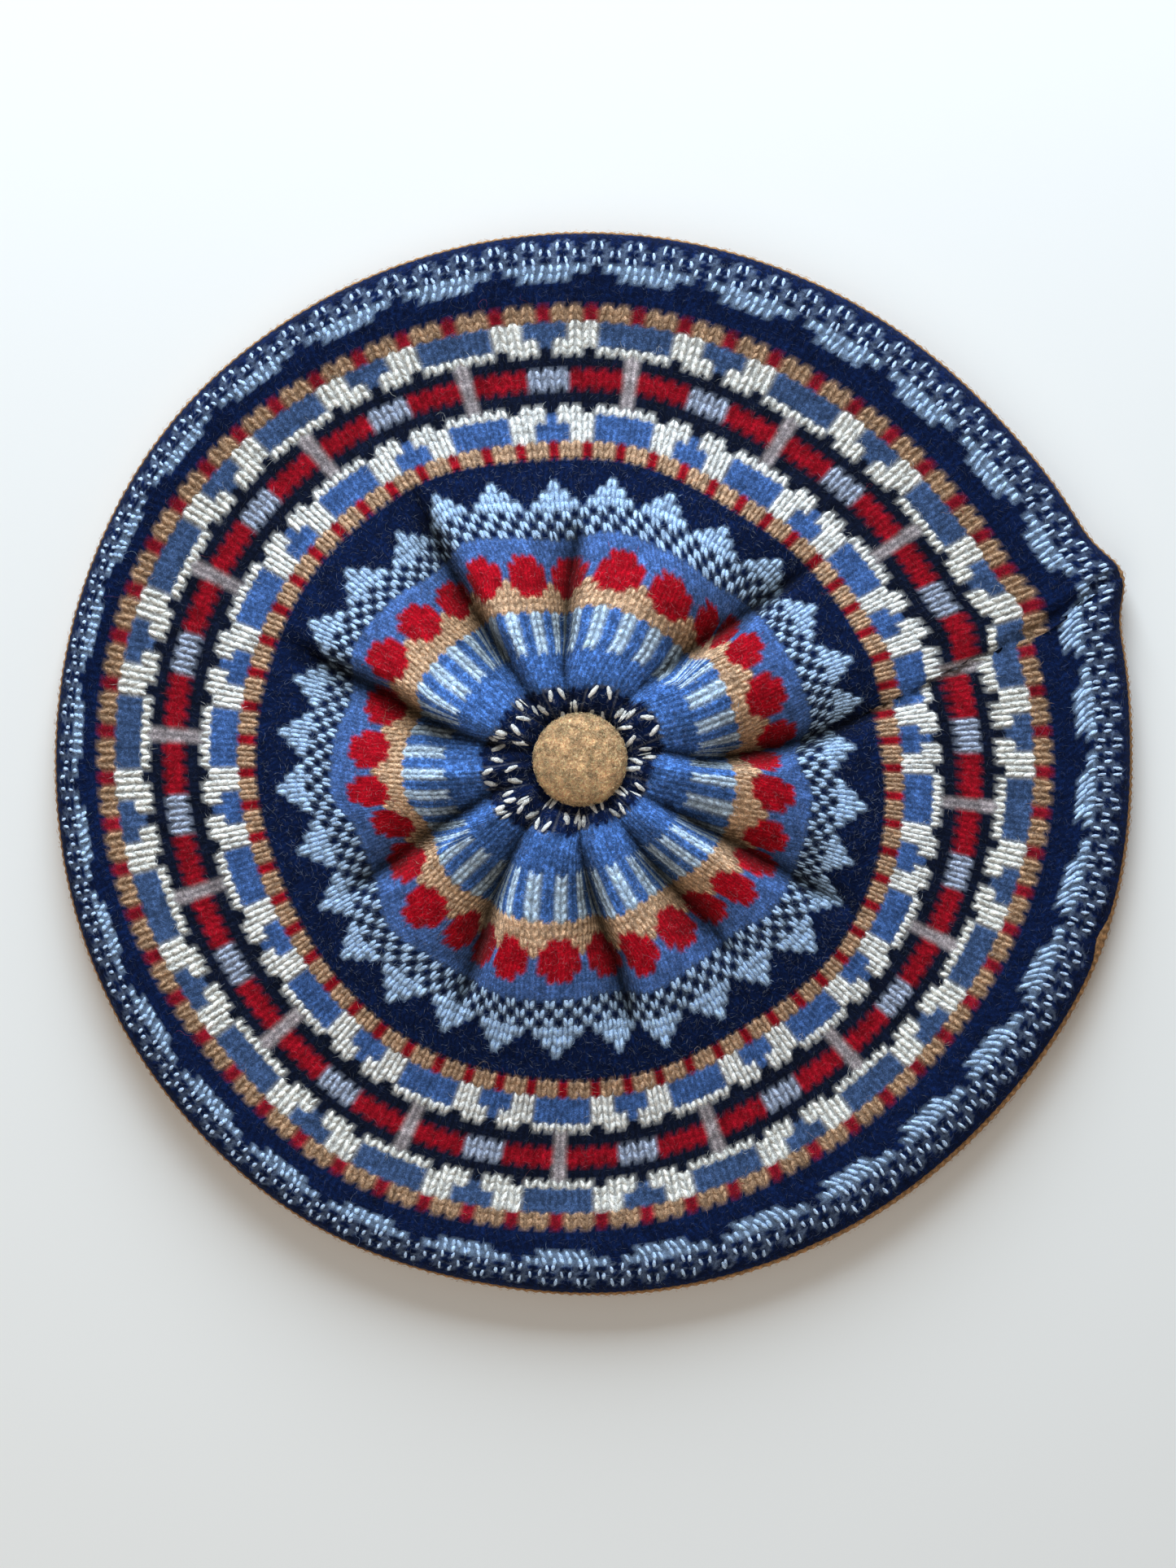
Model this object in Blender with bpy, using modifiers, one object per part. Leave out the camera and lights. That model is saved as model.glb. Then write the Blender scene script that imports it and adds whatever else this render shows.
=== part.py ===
"""Fair isle beret, knitted in the round, lying flat on its underside.

The crown is a tube of knitting, gathered into ten petals under a felt button.
Metres, +Z up, origin on the surface below the middle of the outline.
"""
import math

import bmesh
import bpy
from mathutils import Vector

MM = 0.001

# Knit walls and clearances
WALL = 2.4 * MM             # thickness of one layer of knitting
GAP = 0.3 * MM              # clearance between two pieces that touch
HEM = 0.8 * MM              # straight start of both shells beside the fold line

# The middle of the gathers lies a little left of the middle of the outline
HUB_X = -3.24 * MM
HUB_Y = 0.81 * MM

# Outline, measured round the hub: the edge, the outer and the inner tan row
EDGE, OUTER_TAN, INNER_TAN = 1, 2, 3
SECTION_STEP = 20.0
SECTIONS = [
    # degrees, edge, outer_tan, inner_tan (mm)
    (0, 136.6, 117.0, 75.0),
    (20, 137.6, 116.6, 74.5),
    (40, 133.8, 113.8, 73.4),
    (60, 132.0, 112.2, 72.0),
    (80, 131.0, 112.4, 74.0),
    (100, 130.6, 113.0, 74.8),
    (120, 130.8, 115.4, 78.6),
    (140, 131.4, 119.0, 80.2),
    (160, 130.4, 120.0, 80.2),
    (180, 130.0, 119.2, 80.0),
    (200, 130.8, 118.4, 79.4),
    (220, 131.8, 117.6, 80.2),
    (240, 132.8, 118.8, 80.8),
    (260, 132.0, 116.8, 79.4),
    (280, 133.0, 115.2, 78.8),
    (300, 134.2, 114.4, 77.0),
    (320, 135.4, 114.8, 78.4),
    (340, 137.4, 116.2, 77.6),
]

# The seam pulls the outline out into a blunt corner and puckers the knit
SEAM_DEG = 19.0
SEAM_WIDTH_DEG = 3.2
SEAM_PULL = {EDGE: 4.4 * MM, OUTER_TAN: 2.4 * MM, INNER_TAN: 0.8 * MM}
PUCKER_DEPTH = 1.4 * MM
PUCKER_WIDTH = 4.0 * MM
PUCKER_STARTS = 74.0 * MM
PUCKER_FULL = 92.0 * MM

# Profile of the crown from the fold to the centre. The reach counts the rings
# of the outline: 0 the fold, 1 the outer tan row, 2 the inner tan row, 3 the hub.
CROWN_PROFILE = [
    # reach, height (mm)
    (0.09, 10.6),
    (0.20, 12.0),
    (0.50, 13.1),
    (1.00, 12.4),
    (1.26, 11.3),
    (1.55, 10.9),
    (1.80, 12.0),
    (2.00, 13.6),
    (2.12, 15.6),
    (2.22, 18.2),
    (2.32, 20.8),
    (2.42, 22.8),
    (2.52, 24.3),
    (2.62, 25.2),
    (2.70, 25.6),
    (2.81, 23.6),
    (2.86, 20.2),
    (2.92, 19.2),
    (3.00, 18.6),
]

CREST_HEIGHT = max(height for reach, height in CROWN_PROFILE) * MM

# The fold: an arc round the widest line, with the knit colours changing above it
FOLD_HEIGHT = 5.6 * MM      # of the widest line
FOLD_DEPTH = 9.0 * MM       # from the widest line in to the crest of the fold
FOLD_RISE = 6.6 * MM        # from the widest line up to the crest
LIP = 0.35 * MM             # of the underside shows outside the crown
LIP_EXTRA = 1.0 * MM        # more of it shows at the lower right
LIP_EXTRA_DEG = 315.0

# The underside falls from the widest line to the flat and runs in to the band
UNDERSIDE_FALL_DEG = [8, 30, 60, 90]
UNDERSIDE_FALL_DEPTH = 8.5 * MM
UNDERSIDE_INNER = 94.8 * MM

# The ten creases between the petals of the gathered crown
CREASE_RADII = [138.0, 100.0, 75.0, 50.0, 30.0, 20.0]
CREASES = [
    # degrees at each of the radii above, reach (mm), depth (mm), and the share of the usual
    # width that the crease has on the side of the lower and of the higher directions
    (SEAM_DEG, 14.0, 10.0, 4.0, 0.0, 6.0, 92.0, 12.0, 0.40, 1.5),
    (40.0, 40.0, 40.0, 42.0, 47.0, 52.0, 84.0, 12.0, 0.35, 1.9),
    (88.0, 88.0, 88.0, 92.0, 97.0, 101.0, 64.0, 8.0, 0.40, 1.7),
    (122.0, 122.0, 122.0, 125.0, 126.5, 128.0, 88.0, 10.0, 0.35, 1.7),
    (158.0, 158.0, 158.0, 161.0, 168.0, 171.0, 86.0, 10.0, 0.35, 1.5),
    (210.0, 210.0, 210.0, 208.0, 203.0, 200.0, 72.0, 9.5, 1.3, 0.50),
    (245.0, 245.0, 245.0, 241.0, 234.5, 231.0, 74.0, 12.0, 1.6, 0.35),
    (282.0, 282.0, 282.0, 280.0, 274.0, 270.0, 75.0, 9.5, 1.7, 0.35),
    (309.0, 309.0, 309.0, 308.0, 305.0, 304.0, 66.0, 9.5, 1.2, 1.0),
    (331.5, 331.5, 331.5, 331.5, 331.5, 331.5, 88.0, 9.5, 0.45, 1.5),
]
CREASE_REACH = len(CREASE_RADII)
CREASE_DEPTH, LOWER_SIDE, HIGHER_SIDE = CREASE_REACH + 1, CREASE_REACH + 2, CREASE_REACH + 3
CREASE_WIDTH = 13.0 * MM        # usual width of one side of a crease
CREASE_SPREAD = 0.30            # that width over radius, nearer the centre
CREASE_LEAST_SIDE = 4.5 * MM    # no side is narrower
CREASE_FADE = 0.25              # share of its reach over which a crease opens
CREASE_FLOOR = 9.4 * MM         # height of the crown at which a crease has no depth
CREASE_ROUNDING = 0.6 * MM      # radius at its bottom
CREASE_STEEPNESS = 90.0         # most depth over usual width squared, per metre

# Columns of each petal: even at the edge, crowded to the creases further in
EVEN_COLUMNS = [column / 9 for column in range(9)]
CROWDED_COLUMNS = [0.0, 0.07, 0.17, 0.31, 0.44, 0.56, 0.69, 0.83, 0.93]
CROWDING_STARTS = 88.0 * MM
CROWDING_FULL = 72.0 * MM
COLUMNS = len(CREASES) * len(EVEN_COLUMNS)

# Ribbed head band, lying flat inside the underside
BAND_RIBS = 48
BAND_OUTER = UNDERSIDE_INNER - GAP
BAND_WIDTH = 23.0 * MM
BAND_SECTION = [
    # share of the width inwards, height (mm), sink between the ribs: in, up (mm)
    (0.00, 0.0, 0.0, 0.0),
    (0.00, 2.4, 0.0, 0.0),
    (0.12, 3.0, 0.0, -0.6),
    (0.90, 3.0, 0.0, -0.6),
    (1.00, 2.2, -0.7, -0.3),
    (1.00, 0.8, -0.7, 0.3),
    (0.90, 0.0, 0.0, 0.6),
    (0.12, 0.0, 0.0, 0.6),
]

# Felt covered button, turned from the top of its dome to the middle of its seat
BUTTON_SIDES = 28
BUTTON_PROFILE = [
    # radius, height (mm)
    (0.0, 26.6),
    (4.5, 26.3),
    (8.4, 25.2),
    (10.7, 23.6),
    (11.3, 22.3),
    (10.4, 21.0),
    (7.0, 19.8),
    (0.0, 19.2),
]

# Colours (linear) and roughness
NAVY_WOOL = (0.012, 0.020, 0.075)
TAN_WOOL = (0.42, 0.22, 0.085)
CAMEL_FELT = (0.43, 0.25, 0.11)
WOOL_ROUGHNESS = 0.92
FELT_ROUGHNESS = 0.85


def smoothstep(start, full, value):
    """0 at start, 1 at full, with a soft start and end."""
    share = min(max((value - start) / (full - start), 0.0), 1.0)
    return share * share * (3.0 - 2.0 * share)


def degrees_apart(angle, other):
    """Signed distance between two directions."""
    return (angle - other + 180.0) % 360.0 - 180.0


def ring_radius(ring, angle):
    """Radius of the edge or of a tan row in a direction: a smooth curve through the table."""
    section = (angle % 360.0) / SECTION_STEP
    first = int(section)
    share = section - first
    before, start, end, after = (
        SECTIONS[(first + step) % len(SECTIONS)][ring] for step in (-1, 0, 1, 2))
    slope_start = (end - before) / 2
    slope_end = (after - start) / 2
    bend = 3 * (end - start) - 2 * slope_start - slope_end
    twist = 2 * (start - end) + slope_start + slope_end
    radius = start + share * (slope_start + share * (bend + share * twist))
    beside_seam = degrees_apart(angle, SEAM_DEG) / SEAM_WIDTH_DEG
    return radius * MM + SEAM_PULL[ring] * math.exp(-beside_seam ** 2)


def fold_angle(angle):
    """How far above the widest line the crown ends, in radians along the fold's arc."""
    facing = max(math.cos(math.radians(angle - LIP_EXTRA_DEG)), 0.0)
    lip = LIP + LIP_EXTRA * facing ** 4
    return math.acos(1.0 - lip / FOLD_DEPTH)


def fold_point(angle, along):
    """Radius and height at the colour change, moved inwards and up along the fold."""
    climb = fold_angle(angle)
    radius = ring_radius(EDGE, angle) - FOLD_DEPTH * (1.0 - math.cos(climb))
    height = FOLD_HEIGHT + FOLD_RISE * math.sin(climb)
    tangent = Vector((-FOLD_DEPTH * math.sin(climb), FOLD_RISE * math.cos(climb))).normalized()
    return radius + along * tangent.x, height + along * tangent.y


def crown_radius(angle, reach):
    """Radius of a ring of the crown in a direction."""
    rings = [fold_point(angle, 0.0)[0], ring_radius(OUTER_TAN, angle),
             ring_radius(INNER_TAN, angle), 0.0]
    outer = min(int(reach), 2)
    share = reach - outer
    return rings[outer] * (1.0 - share) + rings[outer + 1] * share


def crease_direction(crease, radius):
    """Direction of a crease at a radius."""
    for step in range(CREASE_REACH - 1):
        outer, inner = CREASE_RADII[step] * MM, CREASE_RADII[step + 1] * MM
        if radius >= inner:
            share = min(max((outer - radius) / (outer - inner), 0.0), 1.0)
            return crease[step] + share * (crease[step + 1] - crease[step])
    return crease[CREASE_REACH - 1]


def groove(away, lower_width, higher_width, rounding):
    """Share of its full depth that a crease has beside its middle line."""
    width = lower_width if away < 0.0 else higher_width
    share = (math.hypot(away, rounding) - rounding) / width
    return (1.0 - share) ** 2 if share < 1.0 else 0.0


def crease_drop(angle, radius, height):
    """How far the creases and the seam lower the crown from a height."""
    width = min(CREASE_WIDTH, CREASE_SPREAD * radius)
    fullness = (height - CREASE_FLOOR) / (CREST_HEIGHT - CREASE_FLOOR)
    drop = 0.0
    for crease in CREASES:
        away = radius * math.radians(degrees_apart(angle, crease_direction(crease, radius)))
        reach = crease[CREASE_REACH] * MM
        depth = crease[CREASE_DEPTH] * MM * fullness
        depth *= smoothstep(reach, reach * (1.0 - CREASE_FADE), radius)
        depth = min(depth, CREASE_STEEPNESS * width ** 2)
        lower_width = max(crease[LOWER_SIDE] * width, CREASE_LEAST_SIDE)
        higher_width = max(crease[HIGHER_SIDE] * width, CREASE_LEAST_SIDE)
        drop = max(drop, depth * groove(away, lower_width, higher_width, CREASE_ROUNDING))
    seam = crease_direction(CREASES[0], radius)
    away = radius * math.radians(degrees_apart(angle, seam))
    pucker = PUCKER_DEPTH * smoothstep(PUCKER_STARTS, PUCKER_FULL, radius)
    return drop + pucker * groove(away, PUCKER_WIDTH, PUCKER_WIDTH, 0.0)


def place(angle, radius, height):
    """World place from a direction and a radius round the hub."""
    turn = math.radians(angle)
    return Vector((HUB_X + radius * math.cos(turn), HUB_Y + radius * math.sin(turn), height))


def column_direction(column, radius):
    """Direction of one column of the crown's mesh, crowded beside the creases."""
    petal, step = divmod(column, len(EVEN_COLUMNS))
    start = crease_direction(CREASES[petal], radius)
    end = crease_direction(CREASES[(petal + 1) % len(CREASES)], radius)
    crowd = smoothstep(CROWDING_STARTS, CROWDING_FULL, radius)
    share = EVEN_COLUMNS[step] * (1.0 - crowd) + CROWDED_COLUMNS[step] * crowd
    return start + share * ((end - start) % 360.0)


def fold_ring(along):
    """A ring beside the colour change, along the fold's tangent."""
    ring = []
    for column in range(COLUMNS):
        angle = column_direction(column, ring_radius(EDGE, 0.0))
        ring.append(place(angle, *fold_point(angle, along)))
    return ring


def crown_ring(reach, height):
    """A ring of the crown, lowered in its creases."""
    ring = []
    for column in range(COLUMNS):
        angle = column_direction(column, crown_radius(0.0, reach))
        radius = crown_radius(angle, reach)
        ring.append(place(angle, radius, height - crease_drop(angle, radius, height)))
    return ring


def underside_ring(fall):
    """A ring of the underside below the widest line, down to the flat."""
    ring = []
    for column in range(COLUMNS):
        angle = column_direction(column, ring_radius(EDGE, 0.0))
        radius = ring_radius(EDGE, angle) - UNDERSIDE_FALL_DEPTH * (1.0 - math.cos(fall))
        ring.append(place(angle, radius, FOLD_HEIGHT * (1.0 - math.sin(fall))))
    return ring


def band_ring(share, height, sink_in, sink_up):
    """One line round the head band, sunk between the ribs."""
    columns = 2 * BAND_RIBS
    ring = []
    for column in range(columns):
        between = column % 2
        radius = BAND_OUTER - share * BAND_WIDTH - between * sink_in * MM
        ring.append(place(360.0 * column / columns, radius, (height + between * sink_up) * MM))
    return ring


def loft(rings, tip=None, closed=False):
    """Faces between rings of the same count, facing up where the rings run inwards."""
    bm = bmesh.new()
    lines = [[bm.verts.new(point) for point in ring] for ring in rings]
    pairs = list(zip(lines, lines[1:]))
    if closed:
        pairs.append((lines[-1], lines[0]))
    for outer, inner in pairs:
        for column in range(len(outer)):
            after = (column + 1) % len(outer)
            bm.faces.new((outer[column], outer[after], inner[after], inner[column]))
    if tip is not None:
        last = lines[-1]
        point = bm.verts.new(tip)
        for column in range(len(last)):
            bm.faces.new((last[column], last[(column + 1) % len(last)], point))
    return bm


def material(name, colour, roughness):
    """A plain wool or felt finish."""
    finish = bpy.data.materials.new(name)
    finish.use_nodes = True
    shader = finish.node_tree.nodes["Principled BSDF"]
    shader.inputs["Base Color"].default_value = (*colour, 1.0)
    shader.inputs["Roughness"].default_value = roughness
    shader.inputs["Metallic"].default_value = 0.0
    return finish


def add_part(name, bm, finish, collection):
    """Turn a bmesh into a smooth shaded piece of the beret."""
    mesh = bpy.data.meshes.new(name)
    bm.to_mesh(mesh)
    bm.free()
    mesh.materials.append(finish)
    mesh.shade_smooth()
    part = bpy.data.objects.new(name, mesh)
    collection.objects.link(part)
    return part


def thicken(part):
    """Give an open surface the thickness of the knit, towards its inner side."""
    wall = part.modifiers.new("wall", "SOLIDIFY")
    wall.thickness = WALL
    wall.offset = -1.0
    wall.use_even_offset = False


def build_crown(finish, collection):
    """The patterned top: a gathered shell from the fold to the centre."""
    rings = [fold_ring(0.0), fold_ring(HEM)]
    rings += [crown_ring(reach, height * MM) for reach, height in CROWN_PROFILE[:-1]]
    tip = place(0.0, 0.0, CROWN_PROFILE[-1][1] * MM)
    thicken(add_part("crown", loft(rings, tip), finish, collection))


def build_underside(finish, collection):
    """The plain ring under the fold, from the colour change in to the band."""
    rings = [fold_ring(-GAP), fold_ring(-GAP - HEM)]
    rings += [underside_ring(math.radians(fall)) for fall in UNDERSIDE_FALL_DEG]
    rings.append([place(math.degrees(math.atan2(point.y - HUB_Y, point.x - HUB_X)),
                        UNDERSIDE_INNER, 0.0) for point in rings[-1]])
    bm = loft(rings)
    bmesh.ops.reverse_faces(bm, faces=bm.faces)
    thicken(add_part("underside", bm, finish, collection))


def build_head_band(finish, collection):
    """The ribbed band round the head opening."""
    bm = loft([band_ring(*line) for line in BAND_SECTION], closed=True)
    bmesh.ops.recalc_face_normals(bm, faces=bm.faces)
    add_part("head_band", bm, finish, collection)


def build_button(finish, collection):
    """The felt covered button on the gathered centre."""
    bm = bmesh.new()
    line = [bm.verts.new((radius * MM, 0.0, height * MM)) for radius, height in BUTTON_PROFILE]
    for pair in zip(line, line[1:]):
        bm.edges.new(pair)
    button = add_part("centre_button", bm, finish, collection)
    button.location = (HUB_X, HUB_Y, 0.0)
    turn = button.modifiers.new("turn", "SCREW")
    turn.steps = BUTTON_SIDES
    turn.render_steps = BUTTON_SIDES
    turn.use_merge_vertices = True
    turn.merge_threshold = 0.0001
    turn.use_smooth_shade = True


def main():
    for old in list(bpy.data.objects):
        bpy.data.objects.remove(old, do_unlink=True)
    beret = bpy.data.collections.new("fair_isle_beret")
    bpy.context.scene.collection.children.link(beret)
    navy = material("navy_wool", NAVY_WOOL, WOOL_ROUGHNESS)
    tan = material("tan_wool", TAN_WOOL, WOOL_ROUGHNESS)
    band = material("tan_rib", TAN_WOOL, WOOL_ROUGHNESS)
    felt = material("camel_felt", CAMEL_FELT, FELT_ROUGHNESS)
    build_crown(navy, beret)
    build_underside(tan, beret)
    build_head_band(band, beret)
    build_button(felt, beret)


main()
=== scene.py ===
"""Looks of the fair isle beret: knitting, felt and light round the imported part.

Metres, +Z up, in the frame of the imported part. The shape functions and their tables
are those of the part's source; the knitting is laid over them stitch by stitch.
"""

import math

import bpy
import numpy as np
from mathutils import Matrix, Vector


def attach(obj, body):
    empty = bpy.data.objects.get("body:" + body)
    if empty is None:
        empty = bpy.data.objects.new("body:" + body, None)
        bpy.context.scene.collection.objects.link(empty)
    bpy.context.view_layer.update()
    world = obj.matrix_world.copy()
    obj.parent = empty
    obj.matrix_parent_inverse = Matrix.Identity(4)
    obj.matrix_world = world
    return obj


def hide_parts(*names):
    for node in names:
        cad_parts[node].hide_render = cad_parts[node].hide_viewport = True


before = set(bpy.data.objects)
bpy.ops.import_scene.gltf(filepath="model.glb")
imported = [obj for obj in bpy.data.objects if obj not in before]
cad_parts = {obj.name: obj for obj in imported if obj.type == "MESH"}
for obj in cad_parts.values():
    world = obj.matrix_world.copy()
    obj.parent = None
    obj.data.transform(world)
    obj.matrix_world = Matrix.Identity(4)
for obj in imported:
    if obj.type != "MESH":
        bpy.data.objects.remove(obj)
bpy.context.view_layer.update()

MM = 0.001
TURN = 360.0

# Shape of the part
HUB = np.array([-3.24, 0.81]) * MM
WALL = 2.4 * MM
SECTION_STEP = 20.0
EDGE, OUTER_TAN, INNER_TAN = 0, 1, 2
SECTIONS = np.array([
    # edge, outer_tan, inner_tan (mm), one row every 20 degrees
    (136.6, 117.0, 75.0),
    (137.6, 116.6, 74.5),
    (133.8, 113.8, 73.4),
    (132.0, 112.2, 72.0),
    (131.0, 112.4, 74.0),
    (130.6, 113.0, 74.8),
    (130.8, 115.4, 78.6),
    (131.4, 119.0, 80.2),
    (130.4, 120.0, 80.2),
    (130.0, 119.2, 80.0),
    (130.8, 118.4, 79.4),
    (131.8, 117.6, 80.2),
    (132.8, 118.8, 80.8),
    (132.0, 116.8, 79.4),
    (133.0, 115.2, 78.8),
    (134.2, 114.4, 77.0),
    (135.4, 114.8, 78.4),
    (137.4, 116.2, 77.6),
]) * MM
SEAM_DEG = 19.0
SEAM_WIDTH_DEG = 3.2
SEAM_PULL = np.array([4.4, 2.4, 0.8]) * MM
PUCKER_DEPTH = 1.4 * MM
PUCKER_WIDTH = 4.0 * MM
PUCKER_STARTS, PUCKER_FULL = 74.0 * MM, 92.0 * MM
CROWN_PROFILE = np.array([
    # reach, height (mm)
    (0.00, 7.4),
    (0.09, 10.6),
    (0.20, 12.0),
    (0.50, 13.1),
    (1.00, 12.4),
    (1.26, 11.3),
    (1.55, 10.9),
    (1.80, 12.0),
    (2.00, 13.6),
    (2.12, 15.6),
    (2.22, 18.2),
    (2.32, 20.8),
    (2.42, 22.8),
    (2.52, 24.3),
    (2.62, 25.2),
    (2.70, 25.6),
    (2.81, 23.6),
    (2.86, 20.2),
    (2.92, 19.2),
    (3.00, 18.6),
])
FOLD_TOP = 0.09  # reach at which the table takes over from the fold
CREST_HEIGHT = CROWN_PROFILE[:, 1].max() * MM
FOLD_HEIGHT = 5.6 * MM
FOLD_DEPTH = 9.0 * MM
FOLD_RISE = 6.6 * MM
LIP = 0.55 * MM  # of the underside shows outside the crown
LIP_EXTRA, LIP_EXTRA_DEG = 0.9 * MM, 315.0  # more of it shows at the lower right
LIP_BUMP, LIP_BUMP_DEG, LIP_BUMP_WIDTH_DEG = 1.6 * MM, 341.0, 1.8
UNDERSIDE_FALL_DEPTH = 8.5 * MM
UNDERSIDE_INNER = 94.8 * MM
CREASE_RADII = [138.0, 100.0, 75.0, 50.0, 30.0, 20.0]
CREASES = [
    # degrees at each of the radii above, reach (mm), depth (mm), share of the usual width
    # on the side of the lower and of the higher directions
    (SEAM_DEG, 14, 10, 4, 0, 6, 92, 12, 0.40, 1.5),
    (40, 40, 40, 42, 47, 52, 84, 12, 0.35, 1.9),
    (88, 88, 88, 92, 97, 101, 64, 8, 0.40, 1.7),
    (122, 122, 122, 125, 126.5, 128, 88, 10, 0.35, 1.7),
    (158, 158, 158, 161, 168, 171, 86, 10, 0.35, 1.5),
    (210, 210, 210, 208, 203, 200, 72, 9.5, 1.3, 0.50),
    (245, 245, 245, 241, 234.5, 231, 74, 12, 1.6, 0.35),
    (282, 282, 282, 280, 274, 270, 75, 9.5, 1.7, 0.35),
    (309, 309, 309, 308, 305, 304, 66, 9.5, 1.2, 1),
    (331.5, 331.5, 331.5, 331.5, 331.5, 331.5, 88, 9.5, 0.45, 1.5),
]
CREASE_REACH, CREASE_DEPTH, LOWER_SIDE, HIGHER_SIDE = 6, 7, 8, 9  # columns of the table
CREASE_WIDTH = 13.0 * MM
CREASE_SPREAD = 0.30
CREASE_FADE = 0.25
CREASE_FLOOR = 9.4 * MM
CREASE_LEAST_SIDE = 4.5 * MM
CREASE_ROUNDING = 0.6 * MM
CREASE_STEEPNESS = 90.0
CREASE_NARROWEST = 0.3 * MM  # usual width of a side, at the very centre
EDGE_SLOPE = 60.0 * MM  # height over reach past the crown's edge
BAND_OUTER, BAND_WIDTH, BAND_THICKNESS = 94.5 * MM, 23.0 * MM, 3.0 * MM
BUTTON_PROFILE = np.array([
    # radius, height (mm)
    (0.0, 26.6),
    (4.5, 26.3),
    (8.4, 25.2),
    (10.7, 23.6),
    (11.3, 22.3),
    (10.4, 21.0),
    (7.0, 19.8),
    (0.0, 19.2),
])

# Knitting: the stitches of a round, and where they lie. The half repeats, six
# stitches each, drift round the crown as its creases take up cloth.
STITCHES = 192
HALF_REPEAT = 6
HALF_REPEATS = STITCHES // HALF_REPEAT
RIM_DEG = [
    16, 24.5, 35.5, 46.5, 57.5, 69.5, 82, 94, 105.5, 118, 130.5,
    142, 154, 165, 176.5, 189, 200, 212, 223, 234.5, 245, 257,
    268.5, 280, 292, 304, 315, 325.5, 336.5, 347, 357, 366.7,
]
BAND_DEG = [
    13.7, 24.1, 34.5, 46.3, 58, 70.3, 82.5, 94.8, 107, 118.9, 130.7,
    142, 153.3, 164.9, 176.5, 187.8, 199, 210.5, 222, 233.5, 245, 256,
    267, 278.4, 289.7, 301, 312.3, 322.9, 333.5, 343.5, 353.5, 363.6,
]
TIP_DEG = [
    12, 20.5, 33.2, 44.9, 58, 71.1, 83.4, 95.6, 108.2, 119, 128.8,
    141, 153.1, 164, 174.6, 185.6, 198.2, 209.7, 219.7, 231.4, 243.1, 253.4,
    265.3, 277.9, 286.8, 299, 310, 321, 331.3, 339.2, 350.5, 362.8,
]
DOT_DEG = [
    6.6, 18.8, 34.5, 42, 47.6, 61.4, 77, 93.1, 105, 118, 127.9,
    139, 152.8, 164.7, 177.2, 189, 198, 209.6, 224, 236.2, 243, 249.8,
    264.9, 277.4, 287.1, 300.8, 311.6, 320.4, 330.6, 336.8, 351, 359.6,
]
RIM_LAST, BAND_FIRST = 5.0, 9.0

# Radii in pixels of the photograph, for each half repeat: the scallops' tips, the middles
# of the dots and the outside of the navy hub
PHOTO_PIXEL = 0.2 * MM
TIP_PIXELS = np.array([
    350, 355, 344, 348, 337, 346, 348, 344, 357, 372, 358, 370, 373, 365, 371, 374,
    364, 367, 380, 379, 372, 372, 367, 360, 367, 362, 358, 372, 367, 358, 357, 341,
])
DOT_PIXELS = np.array([
    246, 241, 244, 235, 228, 228, 238, 223, 234, 252, 251, 260, 269, 248, 260, 265,
    242, 245, 265, 253, 257, 260, 250, 242, 250, 237, 237, 246, 250, 250, 241, 220,
])
NAVY_PIXELS = np.array([
    100, 104, 105, 103, 95, 96, 88, 88, 92, 105, 105, 107, 109, 110, 123, 120,
    122, 124, 113, 106, 105, 102, 95, 82, 83, 84, 84, 86, 86, 87, 90, 95,
])
TIP_VIEW, DOT_VIEW, NAVY_VIEW = 0.995, 0.986, 0.99  # the camera's view of what stands up

HUB_CROWDING = 0.85  # width of the innermost stitches over those of the petals
SEAM_ROWS, SEAM_COLUMNS = [0.0, 17.0, 25.0], [1.6, 0.2, -2.2]
SEAM_JOG = 0.5  # rows that the rounds are out of step at the seam
SEAM_JOG_COLUMNS = 6.0
SEAM_JOG_STARTS, SEAM_JOG_FULL, SEAM_JOG_FADES, SEAM_JOG_ENDS = 0.0, 3.0, 27.0, 35.0  # rows

# Where the rows lie: to the inner tan ring by reach, then between tips, dots and hub
ROW_REACH = np.array([
    # row, reach
    (-1, -0.04), (0, 0.008), (1, 0.05), (2, 0.13), (3, 0.26), (4, 0.37), (5, 0.48), (6, 0.595),
    (7, 0.71), (8, 0.86), (9, 1.03), (11, 1.125), (14, 1.290), (15, 1.332), (16, 1.437),
    (18, 1.549), (19, 1.672), (20, 1.714), (23, 1.895), (25, 2.0), (28, 2.12),
])
TAN_ROW, TIP_ROW, DOT_FROM_ROW, DOT_ROW = 25, 27.0, 29.0, 37.5
STRIPE_ROW, PLAIN_ROW, HUB_ROW, HUB_LAST, LAST_ROW = 42, 47, 51, 55, 57
STRIPE_SHARE, PLAIN_SHARE = 0.69, 0.325  # of the way from the hub to the dots
HUB_PITCH = 16.0  # pixels between the rows of the hub
CENTRE_RADIUS = 0.3 * MM

# Charts, from the fold to the hub. A row of four letters gives the stitches 0 to 3 from
# the middle of a half repeat, one of seven those 0 to 6 from the middle of a whole one.
CHART = [
    "NNNN", "NNNN", "NPNP", "PNPN", "NPNP", "LLLN", "LLNN", "NNNN", "NNNN",
    "QOOQ", "QOOQ",
    "BBBCCBB", "BBBCCBB", "BBBCCCB", "CCCKCCK", "tKKKKKK", "tRRRRvv",
    "tRRRRvv", "tKKKKKK", "WWWKWWK", "AAAWWWA", "AAAWWAA", "AAAWWAA",
    "RIIR", "RIIR",
    "NNNN", "NNNN", "LNNN", "LLNN", "LLLN", "NLNL", "LNLN", "NLNL",
    "DDDD", "DDDD", "rrDD", "rrrD", "rrrD", "rrrT", "rrTT",
]
# Rounds of fewer stitches: first row, row after the last, stitches a round, their repeats
STRIPES = (40, 51, 128, ["T", "T", "SF", "SF", "SF", "SF", "SF", "F", "F", "F", "F"])
HUB_CHART = (51, 56, 48, ["WN", "NW", "WN", "N", "N"])

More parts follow.
